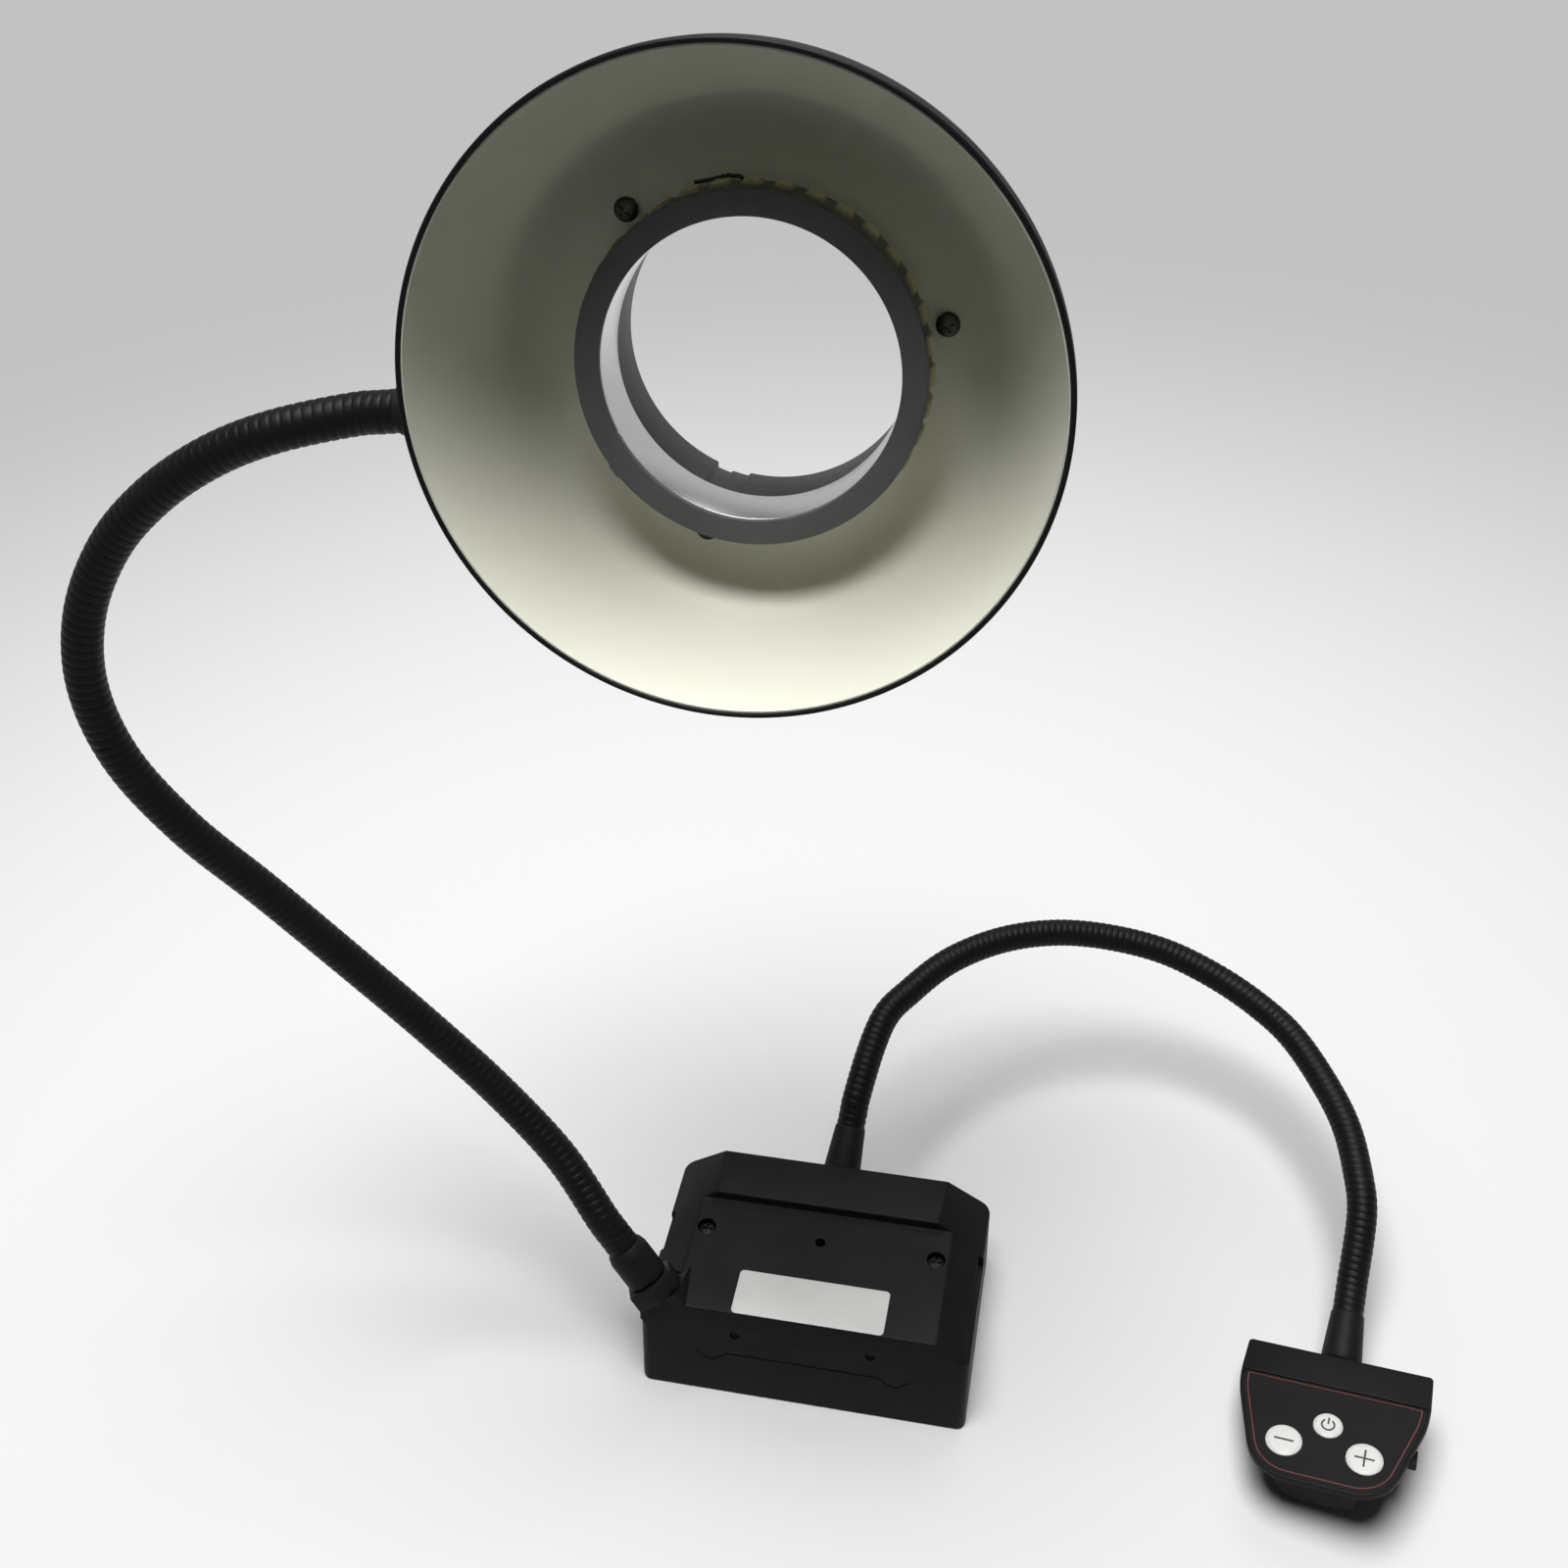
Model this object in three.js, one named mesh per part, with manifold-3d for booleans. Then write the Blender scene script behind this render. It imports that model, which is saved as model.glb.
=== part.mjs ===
// A ring light for a stereo microscope: a wedge-shaped control box, a long bendable arm that
// holds a round hood with its light core, and a short bendable arm that holds a keypad.
// Millimetres, +Z up. The origin is the middle of the control box's underside, +X runs to the
// right along the box's front edge and +Y to the back. The open side of the hood faces -Y.
import * as THREE from 'three';
import { mergeVertices } from 'three/addons/utils/BufferGeometryUtils.js';
import Module from 'manifold-3d';

const wasm = await Module();
wasm.setup();

// Shared fits
const seatGap = 0.3;
const overrun = 1;

// Control box housing
const boxWidth = 95;
const boxDepth = 61.2;
const boxTopWidth = 66.3;
const sideWallHeight = 23.7;
const lipHeight = 33.6;
const recessHeight = 30.4;
const backHeight = 32.8;
const frontLean = 6.2;
const lipSetback = 38.5;
const boxWall = 2.4;
const boxCornerRadius = 3;
const notchLength = 13.7;
const notchHeight = 6.5;
const notchDepth = 1.6;
const notchCentreY = 4.5;
const seamHeight = 14.9;
const seamHalfLength = 31.4;
const seamDip = 2.9;
const seamDipPlace = 26.6;
const seamDipHalfWidth = 5.6;
const seamWidth = 0.5;
const seamSteps = 8;

// Screws, holes and bosses of the box
const topHoleSpacing = 68.4;
const topHoleY = 3.7;
const topHoleRadius = 2.75;
const topHoleDepth = 3.2;
const topScrewHeadRadius = 2.45;
const topScrewHeadHeight = 2.2;
const topScrewLength = 12;
const topBossLength = 6;
const screwShankRadius = 1.5;
const centreHoleRadius = 1.5;
const centreHoleDepth = 5;
const frontHoleSpacing = 39.2;
const frontHoleHeight = 22.1;
const frontScrewHeadRadius = 1.3;
const frontScrewHeadHeight = 1.1;
const frontScrewSink = 0.5;
const frontScrewShankRadius = 0.8;
const frontScrewLength = 5;
const bossWall = 1.5;
const crossWidth = 0.8;
const crossDepth = 0.9;

// What the box holds
const plateThickness = 5;
const boardThickness = 1.6;
const boardLength = 48;
const boardDepth = 38;
const boardStandoff = 4;
const standoffRadius = 2.5;
const coilRadius = 6;
const coilHeight = 7;
const chipSize = 9;
const chipHeight = 2.5;
const labelLength = 43.8;
const labelDepth = 14.8;
const labelThickness = 0.25;
const labelShift = 1;
const labelCornerRadius = 1.2;
const inletSideInset = 17.5;
const inletHeight = 14;
const inletRadius = 4.6;
const inletFlangeRadius = 5.8;
const inletFlange = 1.2;
const inletBore = 2.8;
const inletBoreDepth = 9;
const inletPinRadius = 1;
const inletLength = 11;

// Long arm: where it leaves the box, its fittings and its route to the hood
const armRadius = 4.82;
const armRootRadius = 4.3;
const armPitch = 3.7;
const armSideInset = 5.8;
const armFrontInset = 9.9;
const armSeatHeight = 27.5;
const armLeanShares = new THREE.Vector3(-0.6, 0.25, 0.75);
const armPadHalfWidth = 7.6;
const armPadHalfLength = 9;
const armPadDepth = 6;
const armPadRise = 1.4;
const armNutFlats = 14;
const armNutHeight = 5.4;
const armFerruleRadius = 6;
const armFerruleNeck = 5.3;
const armFerruleLength = 12;
const armFerruleStraightShare = 0.8;
const armStudRadius = 2.9;
const armStudDepth = 4.5;
const armBulge = 98;
const armSway = 14;
const armStraight = 10;
const armHinges = 5;

// Short arm: where it leaves the box, its fittings and its route to the keypad
const loopRadius = 4.34;
const loopRootRadius = 3.86;
const loopPitch = 3.3;
const loopShift = 1;
const loopSeatHeight = 25;
const loopLeanShares = new THREE.Vector3(0.08, 0.74, 0.67);
const loopBossRadius = 5.9;
const loopBossRise = 2.6;
const loopBossDepth = 8;
const loopFerruleRadius = 5.6;
const loopFerruleNeck = 4.6;
const loopFerruleLength = 14.4;
const loopFerruleStraightShare = 0.12;
const loopStudRadius = 3;
const loopStudDepth = 5;
const loopReach = 100;
const loopRise = 35;
const loopStraight = 9;
const loopHinges = 4;

// What both arms share
const armBore = 3.05;
const leadBore = 1.2;
const hingeBall = 2.72;
const hingeGap = 2;
const hingeWeb = 1.2;
const ribsPerBoreRing = 5;

// Hood, measured back from the plane of its rim along its axis
const hoodCentre = new THREE.Vector3(-16, 9.3, 295.3);
const hoodTilt = THREE.MathUtils.degToRad(9.93);
const hoodYaw = THREE.MathUtils.degToRad(1.84);
const rimRadius = 70;
const hoodWall = 1.2;
const skirtDepth = 7;
const hoodBackRoom = 8.2;
const hoodBackRadius = 49;
const reflectorWall = 0.8;
const reflectorFlatRadius = 46;
const reflectorDepth = 38;
const reflectorLipDepth = 0.5;
const reflectorCurve = 1.8;
const coreRadius = 37.5;
const boreRadius = 33;
const flangeRadius = 38.6;
const flangeThickness = 1.2;
const flangeGap = 1.6;
const coreFoot = 2;
const collarBore = 34.1;
const collarRadius = 38;
const collarReach = 11.8;
const collarFoot = 3.4;
const collarNotchWidth = 8;
const collarNotchDepth = 1.4;
const collarNotchLength = 3;
const collarNotchAngle = THREE.MathUtils.degToRad(-107.6);
const ledCount = 36;
const ledStripWall = 0.5;
const ledHeight = 1.1;
const ledWidthShare = 0.62;
const ledStripWidth = 8.2;
const ledStripGap = 2.4;
const reflectorScrews = 3;
const reflectorScrewCircle = 42.3;
const reflectorScrewAngle = THREE.MathUtils.degToRad(12.8);
const reflectorScrewHead = 2.65;
const reflectorScrewHeadHeight = 1.7;
const reflectorScrewLength = 5;
const postRadius = 3.1;
const hoodBossDepth = 15;
const hoodBossAngle = THREE.MathUtils.degToRad(-173.4);
const hoodBossRadius = 6.6;
const hoodBossRise = 1.2;
const hoodBossSink = 2.2;
const hoodCollarRadius = 6;
const hoodCollarLength = 4.6;
const hoodStudRadius = 3;
const hoodStudLength = 4;
const leadRadius = 0.8;
const leadCircle = 49.5;
const leadBackGap = 4;
const leadExitAngle = THREE.MathUtils.degToRad(99);
const leadExitCircle = 43.4;
const leadExitRadius = 1.5;
const leadRise = 7;
const leadStep = 2.5;
const leadArcSteps = 5;

// Keypad: its face lies in its own XY plane, +Z out of the face, its rear band at positive y
const podCentre = new THREE.Vector3(147.65, -9.9, 18);
const podYaw = THREE.MathUtils.degToRad(-10.78);
const podPitch = THREE.MathUtils.degToRad(-2.91);
const podRoll = THREE.MathUtils.degToRad(-8.15);
const podHalfWidth = 25.4;
const podBandHalfWidth = 25;
const podBand = 10.5;
const podBandRadius = 1.2;
const podShoulder = 6;
const podShoulderHalfWidth = 25;
const podShoulderRadius = 30;
const podFront = 32;
const podFrontHalfWidth = 17.4;
const podFrontRadius = 12;
const podHull = 11;
const podHullInset = 7;
const podHullTopInset = 0.8;
const podWall = 1.6;
const podBandWall = 1.8;
const podFootLeft = 14.4;
const podFootRight = 9.8;
const podFootFront = 28.4;
const podFootBack = 6;
const podFootLeftRadius = 6;
const podFootRightRadius = 3.5;
const podFootDepth = 16.2;
const podTabLength = 5;
const podTabReach = 23.4;
const podTabDepth = 3;
const podTabPlace = 14.5;
const podBossRadius = 5.8;
const podBossDepth = 5;
const podSeat = new THREE.Vector3(0, 13.1, -6);
const podArmLift = THREE.MathUtils.degToRad(25.3);
const faceThickness = 2;
const panelInset = 0.8;
const panelThickness = 0.5;
const panelSink = 0.1;
const bigButtonRadius = 4.85;
const smallButtonRadius = 3.92;
const bigButtonPlace = 10.5;
const bigButtonRow = 20.5;
const smallButtonRow = 12.7;
const buttonCrown = 0.35;
const buttonFit = 0.15;
const buttonFlange = 0.9;
const buttonFlangeThickness = 0.8;
const buttonPlunger = 2;
const buttonPlungerLength = 0.8;
const buttonTravel = 0.3;
const podBoardDepth = 5.6;
const podBoardThickness = 1.2;
const podBoardInset = 6.8;
const switchRadius = 2.6;
const switchHeight = 0.6;
const switchStemRadius = 1;
const podScrewPlace = 12.5;
const podScrewRow = 3.2;
const podScrewHead = 2.1;
const podScrewHeadHeight = 1.2;
const podScrewShank = 1;
const podScrewLength = 5;
const podPostRadius = 2.3;

// Steps round a circle
const fineSides = 48;
const coreSides = 40;
const plainSides = 24;
const screwSides = 12;
const arcSteps = 4;
const hoodSteps = 6;
const tubeSides = 8;

const finishes = {
  blackPlastic: { color: 0x17181a, roughness: 0.62, metalness: 0 },
  blackMetal: { color: 0x111214, roughness: 0.35, metalness: 0.6 },
  ferruleBlack: { color: 0x15161a, roughness: 0.45, metalness: 0.1 },
  darkScrew: { color: 0x22231f, roughness: 0.4, metalness: 0.8 },
  steel: { color: 0xa9abad, roughness: 0.35, metalness: 1 },
  reflector: { color: 0xb9b7a2, roughness: 0.38, metalness: 0.9 },
  flangeGrey: { color: 0x4a4c50, roughness: 0.6, metalness: 0.2 },
  silver: { color: 0xc9cbcc, roughness: 0.18, metalness: 1 },
  ledYellow: { color: 0xd9c56a, roughness: 0.5, metalness: 0 },
  board: { color: 0x1d5b36, roughness: 0.6, metalness: 0 },
  label: { color: 0xe9eaea, roughness: 0.5, metalness: 0 },
  panel: { color: 0x1b1c21, roughness: 0.45, metalness: 0 },
  buttonWhite: { color: 0xe6e4dd, roughness: 0.5, metalness: 0 },
};

function volumeOf(geometry) {
  const place = geometry.getAttribute('position');
  const index = geometry.index.array;
  const corner = [new THREE.Vector3(), new THREE.Vector3(), new THREE.Vector3()];
  let sum = 0;
  for (let i = 0; i < index.length; i += 3) {
    corner.forEach((point, k) => point.fromBufferAttribute(place, index[i + k]));
    sum += corner[0].dot(corner[1].clone().cross(corner[2]));
  }
  return sum / 6;
}

// Shared vertices, without the triangles that closed up, and with the faces pointing out
function weld(geometry) {
  const bare = new THREE.BufferGeometry();
  bare.setAttribute('position', geometry.getAttribute('position').clone());
  if (geometry.index) {
    bare.setIndex(geometry.index.clone());
  }
  const merged = mergeVertices(bare);
  const index = Array.from(merged.index.array);
  const kept = [];
  for (let i = 0; i < index.length; i += 3) {
    const [a, b, c] = index.slice(i, i + 3);
    if (a !== b && b !== c && c !== a) {
      kept.push(a, b, c);
    }
  }
  merged.setIndex(kept);
  if (volumeOf(merged) < 0) {
    merged.setIndex(kept.reverse());
  }
  return merged;
}

function solidOf(geometry) {
  const welded = weld(geometry);
  return new wasm.Manifold(new wasm.Mesh({
    numProp: 3,
    vertProperties: new Float32Array(welded.getAttribute('position').array),
    triVerts: new Uint32Array(welded.index.array),
  }));
}

function geometryOf(solid) {
  const mesh = solid.getMesh();
  const geometry = new THREE.BufferGeometry();
  geometry.setAttribute('position', new THREE.BufferAttribute(mesh.vertProperties, mesh.numProp));
  geometry.setIndex(Array.from(mesh.triVerts));
  return geometry;
}

function join(first, ...others) {
  return geometryOf(others.reduce((sum, next) => sum.add(solidOf(next)), solidOf(first)));
}

function cut(first, ...others) {
  return geometryOf(others.reduce((sum, next) => sum.subtract(solidOf(next)), solidOf(first)));
}

function common(first, ...others) {
  return geometryOf(others.reduce((sum, next) => sum.intersect(solidOf(next)), solidOf(first)));
}

// A profile revolved about Z. Its points are [radius, height], on the axis at both ends or closed.
function revolve(points, sides = fineSides) {
  const profile = points.map(([radius, height]) => new THREE.Vector2(radius, height));
  if (points.every(([radius]) => radius > 0)) {
    profile.push(profile[0].clone());
  }
  return new THREE.LatheGeometry(profile, sides).rotateX(Math.PI / 2);
}

function tube(inner, outer, low, high, sides = fineSides) {
  return revolve([[inner, low], [outer, low], [outer, high], [inner, high]], sides);
}

// A cylinder along Z from one height to another
function rod(radius, low, high, sides = plainSides) {
  const shape = new THREE.CylinderGeometry(radius, radius, high - low, sides);
  return shape.rotateX(Math.PI / 2).translate(0, 0, (low + high) / 2);
}

function block(low, high) {
  const size = high.map((value, k) => value - low[k]);
  const middle = high.map((value, k) => (value + low[k]) / 2);
  return new THREE.BoxGeometry(...size).translate(...middle);
}

function slab(outline, low, high, hole = null) {
  const shape = new THREE.Shape(outline.map(([x, y]) => new THREE.Vector2(x, y)));
  if (hole) {
    shape.holes.push(new THREE.Path(hole.map(([x, y]) => new THREE.Vector2(x, y))));
  }
  const options = { depth: high - low, bevelEnabled: false };
  return new THREE.ExtrudeGeometry(shape, options).translate(0, 0, low);
}

// A corner of an outline as an arc of the given radius
function cornerArc(before, corner, after, radius) {
  const at = new THREE.Vector2(...corner);
  const back = new THREE.Vector2(...before).sub(at).normalize();
  const ahead = new THREE.Vector2(...after).sub(at).normalize();
  const half = Math.acos(back.dot(ahead)) / 2;
  const centre = back.clone().add(ahead).normalize().multiplyScalar(radius / Math.sin(half)).add(at);
  const from = back.clone().multiplyScalar(radius / Math.tan(half)).add(at).sub(centre);
  const turn = (2 * half - Math.PI) * Math.sign(back.cross(ahead));
  const points = [];
  for (let i = 0; i <= arcSteps; i += 1) {
    const point = from.clone().rotateAround(new THREE.Vector2(), (turn * i) / arcSteps).add(centre);
    points.push([point.x, point.y]);
  }
  return points;
}

function roundedOutline(corners, radii) {
  const count = corners.length;
  return corners.flatMap((corner, i) => {
    const before = corners[(i + count - 1) % count];
    const after = corners[(i + 1) % count];
    return radii[i] === 0 ? [corner] : cornerArc(before, corner, after, radii[i]);
  });
}

// The outline moved inwards by a distance. Its points run anticlockwise.
function insetOutline(points, distance) {
  const count = points.length;
  return points.map((point, i) => {
    const at = new THREE.Vector2(...point);
    const into = at.clone().sub(new THREE.Vector2(...points[(i + count - 1) % count])).normalize();
    const out = new THREE.Vector2(...points[(i + 1) % count]).sub(at).normalize();
    const move = new THREE.Vector2(-into.y - out.y, into.x + out.x);
    move.multiplyScalar(distance / (1 + into.dot(out)));
    return [at.x + move.x, at.y + move.y];
  });
}

// A skin through rings of equal count, closed on its first ring or by a cap at each end
function loft(rings, capped = false) {
  const count = rings[0].length;
  const points = rings.flat();
  const index = [];
  const strips = capped ? rings.length - 1 : rings.length;
  for (let i = 0; i < strips; i += 1) {
    const a = i * count;
    const b = ((i + 1) % rings.length) * count;
    for (let k = 0; k < count; k += 1) {
      const next = (k + 1) % count;
      index.push(a + k, a + next, b + next, a + k, b + next, b + k);
    }
  }
  if (capped) {
    [rings[0], rings[rings.length - 1]].forEach((ring, end) => {
      const first = end * (rings.length - 1) * count;
      const middle = ring.reduce((sum, point) => sum.add(point), new THREE.Vector3());
      points.push(middle.divideScalar(count));
      for (let k = 0; k < count; k += 1) {
        const pair = [first + k, first + ((k + 1) % count)];
        index.push(points.length - 1, pair[1 - end], pair[end]);
      }
    });
  }
  const geometry = new THREE.BufferGeometry();
  const values = points.flatMap((point) => point.toArray());
  geometry.setAttribute('position', new THREE.Float32BufferAttribute(values, 3));
  geometry.setIndex(index);
  return geometry;
}

// A shape made along Z, set at a point with its Z along a direction
function aim(geometry, point, direction) {
  const up = new THREE.Vector3(0, 0, 1);
  const turn = new THREE.Quaternion().setFromUnitVectors(up, direction.clone().normalize());
  return geometry.applyQuaternion(turn).translate(point.x, point.y, point.z);
}

function along(point, direction, distance) {
  return direction.clone().normalize().multiplyScalar(distance).add(point);
}

const part = new THREE.Group();
const hood = new THREE.Group();
const pod = new THREE.Group();
hood.position.copy(hoodCentre);
hood.rotation.set(Math.PI / 2 - hoodTilt, 0, hoodYaw, 'ZYX');
pod.position.copy(podCentre);
pod.rotation.set(podPitch, podRoll, podYaw, 'ZXY');
part.add(hood, pod);
part.updateMatrixWorld(true);

function addMesh(group, name, geometry, finish) {
  const mesh = new THREE.Mesh(weld(geometry), new THREE.MeshStandardMaterial(finishes[finish]));
  mesh.name = name;
  group.add(mesh);
  return mesh;
}

// A cross-recessed screw along Z: its head's underside at zero, its shank below
function screw(headRadius, headHeight, shankRadius, length) {
  const rimShare = 0.6;
  const crownShare = 0.7;
  const slotShare = 0.6;
  const body = revolve([
    [0, -length], [shankRadius, -length], [shankRadius, 0], [headRadius, 0],
    [headRadius, headHeight * rimShare], [headRadius * crownShare, headHeight], [0, headHeight],
  ], screwSides);
  const reach = headRadius * slotShare;
  const half = Math.min(crossWidth, reach) / 2;
  const low = headHeight - Math.min(crossDepth, headHeight * rimShare);
  const top = headHeight + overrun;
  const cross = join(block([-reach, -half, low], [reach, half, top]), block([-half, -reach, low], [half, reach, top]));
  return cut(body, cross);
}

// Control box

const boxFront = -boxDepth / 2;
const boxBack = boxDepth / 2;
const frontTop = boxFront + frontLean;
const lipY = frontTop + lipSetback;
const halfWidth = boxWidth / 2;
const inletPlace = halfWidth - inletSideInset;
const armSeat = new THREE.Vector3(armSideInset - halfWidth, boxFront + armFrontInset, armSeatHeight);
const loopSeat = new THREE.Vector3(loopShift, boxBack, loopSeatHeight);
const frontNormal = new THREE.Vector3(0, -recessHeight, frontLean).normalize();
const topHoles = [-topHoleSpacing / 2, topHoleSpacing / 2];
const frontHoles = [-frontHoleSpacing / 2, frontHoleSpacing / 2];
const topSeat = recessHeight - topHoleDepth;
const topBossEnd = topSeat - topBossLength;
const frontSeat = frontScrewSink + frontScrewHeadHeight;
const armAxis = armLeanShares.clone().normalize();
const armNutRadius = armNutFlats / Math.sqrt(3);
const loopAxis = loopLeanShares.clone().normalize();

// The box's cross-section runs along Y, its side view along X
function acrossBox(points) {
  return slab(points, -boxDepth, boxDepth).rotateX(Math.PI / 2);
}

function alongBox(points) {
  return slab(points, -boxWidth, boxWidth).rotateX(Math.PI / 2).rotateZ(Math.PI / 2);
}

const crossSection = [
  [-halfWidth, 0], [halfWidth, 0], [halfWidth, sideWallHeight], [boxTopWidth / 2, lipHeight],
  [-boxTopWidth / 2, lipHeight], [-halfWidth, sideWallHeight],
];
const sideView = [
  [boxFront, 0], [boxBack, 0], [boxBack, backHeight], [lipY, lipHeight], [lipY, recessHeight],
  [frontTop, recessHeight],
];

function boxOutline(margin, low, high) {
  const x = halfWidth - margin;
  const y = boxBack - margin;
  const corners = [[-x, -y], [x, -y], [x, y], [-x, y]];
  return slab(roundedOutline(corners, corners.map(() => boxCornerRadius)), low, high);
}

// A point on the leaning front face at a given height
function onFront(x, height) {
  return new THREE.Vector3(x, boxFront + (frontLean * height) / recessHeight, height);
}

// The thin seam across the front dips once near each end
function seamGroove() {
  const line = [-seamDipPlace, seamDipPlace].flatMap((place) => {
    const stretch = [];
    for (let i = 0; i <= seamSteps; i += 1) {
      const x = place + seamDipHalfWidth * ((2 * i) / seamSteps - 1);
      const fall = (1 + Math.cos((Math.PI * (x - place)) / seamDipHalfWidth)) / 2;
      stretch.push([x, -seamDip * fall]);
    }
    return stretch.filter(([x]) => Math.abs(x) <= seamHalfLength);
  });
  const half = seamWidth / 2;
  const lower = line.map(([x, y]) => [x, y - half]);
  const upper = line.map(([x, y]) => [x, y + half]).reverse();
  const groove = slab([...lower, ...upper], -seamWidth, overrun);
  groove.rotateX(Math.PI / 2 - Math.atan2(frontLean, recessHeight));
  return groove.translate(...onFront(0, seamHeight).toArray());
}

// A wedge on the left bevel, square to the long arm and flush with the leaning front
function armPad() {
  const pad = block(
    [-armPadHalfWidth, -armPadHalfLength, -armPadDepth], [armPadHalfWidth, armPadHalfLength, armPadRise],
  );
  const top = lipHeight + armPadHalfLength;
  const behindFront = alongBox([[boxFront, 0], [boxBack, 0], [boxBack, top], [onFront(0, top).y, top]]);
  return common(aim(pad, armSeat, armAxis), boxOutline(0, 0, top), behindFront);
}

// What stands out from the shell or hangs into it
function boxBosses() {
  const loopBoss = aim(rod(loopBossRadius, -loopBossDepth, loopBossRise), loopSeat, loopAxis);
  const under = recessHeight - boxWall / 2;
  const topBosses = topHoles.map((x) => rod(topHoleRadius + bossWall, topBossEnd, under).translate(x, topHoleY, 0));
  const centreBoss = rod(centreHoleRadius + bossWall, under - centreHoleDepth, under).translate(0, topHoleY, 0);
  const frontBosses = frontHoles.map((x) => aim(
    rod(frontScrewHeadRadius + bossWall, -frontScrewLength - frontSeat, -boxWall / 2),
    onFront(x, frontHoleHeight), frontNormal,
  ));
  return [armPad(), loopBoss, ...topBosses, centreBoss, ...frontBosses];
}

function boxHoles() {
  const notches = [-halfWidth, halfWidth].map((x) => block(
    [x - notchDepth, notchCentreY - notchLength / 2, sideWallHeight - notchHeight / 2],
    [x + notchDepth, notchCentreY + notchLength / 2, sideWallHeight + notchHeight / 2],
  ));
  const topBores = topHoles.flatMap((x) => [
    rod(topHoleRadius, topSeat, lipHeight).translate(x, topHoleY, 0),
    rod(screwShankRadius + seatGap, topBossEnd - overrun, lipHeight, screwSides).translate(x, topHoleY, 0),
  ]);
  const centreBore = rod(centreHoleRadius, recessHeight - centreHoleDepth, lipHeight, screwSides);
  const frontBores = frontHoles.flatMap((x) => [
    aim(rod(frontScrewHeadRadius + seatGap / 2, -frontSeat, overrun, screwSides),
      onFront(x, frontHoleHeight), frontNormal),
    aim(rod(frontScrewShankRadius + seatGap, -frontSeat - frontScrewLength - overrun, overrun, screwSides),
      onFront(x, frontHoleHeight), frontNormal),
  ]);
  const armBores = [
    aim(rod(armStudRadius + seatGap, -armPadDepth - overrun, armPadRise + overrun), armSeat, armAxis),
    aim(rod(armNutRadius + seatGap, armPadRise, armPadRise + armNutHeight), armSeat, armAxis),
    aim(rod(loopStudRadius + seatGap, -loopBossDepth - overrun, loopBossRise + overrun), loopSeat, loopAxis),
    aim(rod(loopFerruleRadius + seatGap, loopBossRise, loopFerruleLength), loopSeat, loopAxis),
  ];
  const inletHole = rod(inletRadius + seatGap, -boxWall - overrun, overrun).rotateX(-Math.PI / 2);
  inletHole.translate(inletPlace, boxBack, inletHeight);
  return [...notches, ...topBores, centreBore.translate(0, topHoleY, 0), ...frontBores, ...armBores, inletHole,
    seamGroove()];
}

function baseHousing() {
  const outer = common(acrossBox(crossSection), alongBox(sideView), boxOutline(0, 0, lipHeight));
  const hollow = common(
    acrossBox(insetOutline(crossSection, boxWall)), alongBox(insetOutline(sideView, boxWall)),
  );
  const mouth = boxOutline(boxWall, -overrun, plateThickness + seatGap);
  return cut(join(cut(outer, hollow, mouth), ...boxBosses()), ...boxHoles());
}

// The bottom plate carries two tall posts for the top screws and four standoffs for the board
function basePlate() {
  const plate = boxOutline(boxWall + seatGap, 0, plateThickness);
  const postTop = topBossEnd - seatGap;
  const posts = topHoles.map((x) => rod(topHoleRadius + bossWall, 0, postTop).translate(x, topHoleY, 0));
  const spots = [-1, 1].flatMap((i) => [-1, 1].map((j) => [
    i * (boardLength / 2 - standoffRadius), j * (boardDepth / 2 - standoffRadius),
  ]));
  const standoffs = spots.map(([x, y]) => (
    rod(standoffRadius, 0, plateThickness + boardStandoff, screwSides).translate(x, y, 0)
  ));
  const pilots = topHoles.map((x) => (
    rod(screwShankRadius + seatGap, plateThickness, topBossEnd, screwSides).translate(x, topHoleY, 0)
  ));
  return cut(join(plate, ...posts, ...standoffs), ...pilots);
}

function driverBoard() {
  const low = plateThickness + boardStandoff + seatGap;
  const high = low + boardThickness;
  const middle = low + boardThickness / 2;
  const board = block([-boardLength / 2, -boardDepth / 2, low], [boardLength / 2, boardDepth / 2, high]);
  const coil = rod(coilRadius, middle, high + coilHeight, screwSides);
  const chip = block([0, -chipSize, middle], [chipSize, 0, high + chipHeight]);
  return join(board, coil.translate(-boardLength / 4, -boardDepth / 4, 0), chip);
}

// The socket for a mains adapter's barrel plug
function dcInlet() {
  const jack = revolve([
    [0, -inletLength], [inletRadius, -inletLength], [inletRadius, seatGap], [inletFlangeRadius, seatGap],
    [inletFlangeRadius, seatGap + inletFlange], [inletBore, seatGap + inletFlange],
    [inletBore, -inletBoreDepth], [inletPinRadius, -inletBoreDepth], [inletPinRadius, -inletFlange], [0, 0],
  ], plainSides);
  return jack.rotateX(-Math.PI / 2).translate(inletPlace, boxBack, inletHeight);
}

function labelPlate() {
  const [left, right] = [labelShift - labelLength / 2, labelShift + labelLength / 2];
  const [front, back] = [frontTop, frontTop + labelDepth];
  const corners = [[left, front], [right, front], [right, back], [left, back]];
  const outline = roundedOutline(corners, corners.map(() => labelCornerRadius));
  return slab(outline, recessHeight, recessHeight + labelThickness);
}

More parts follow.
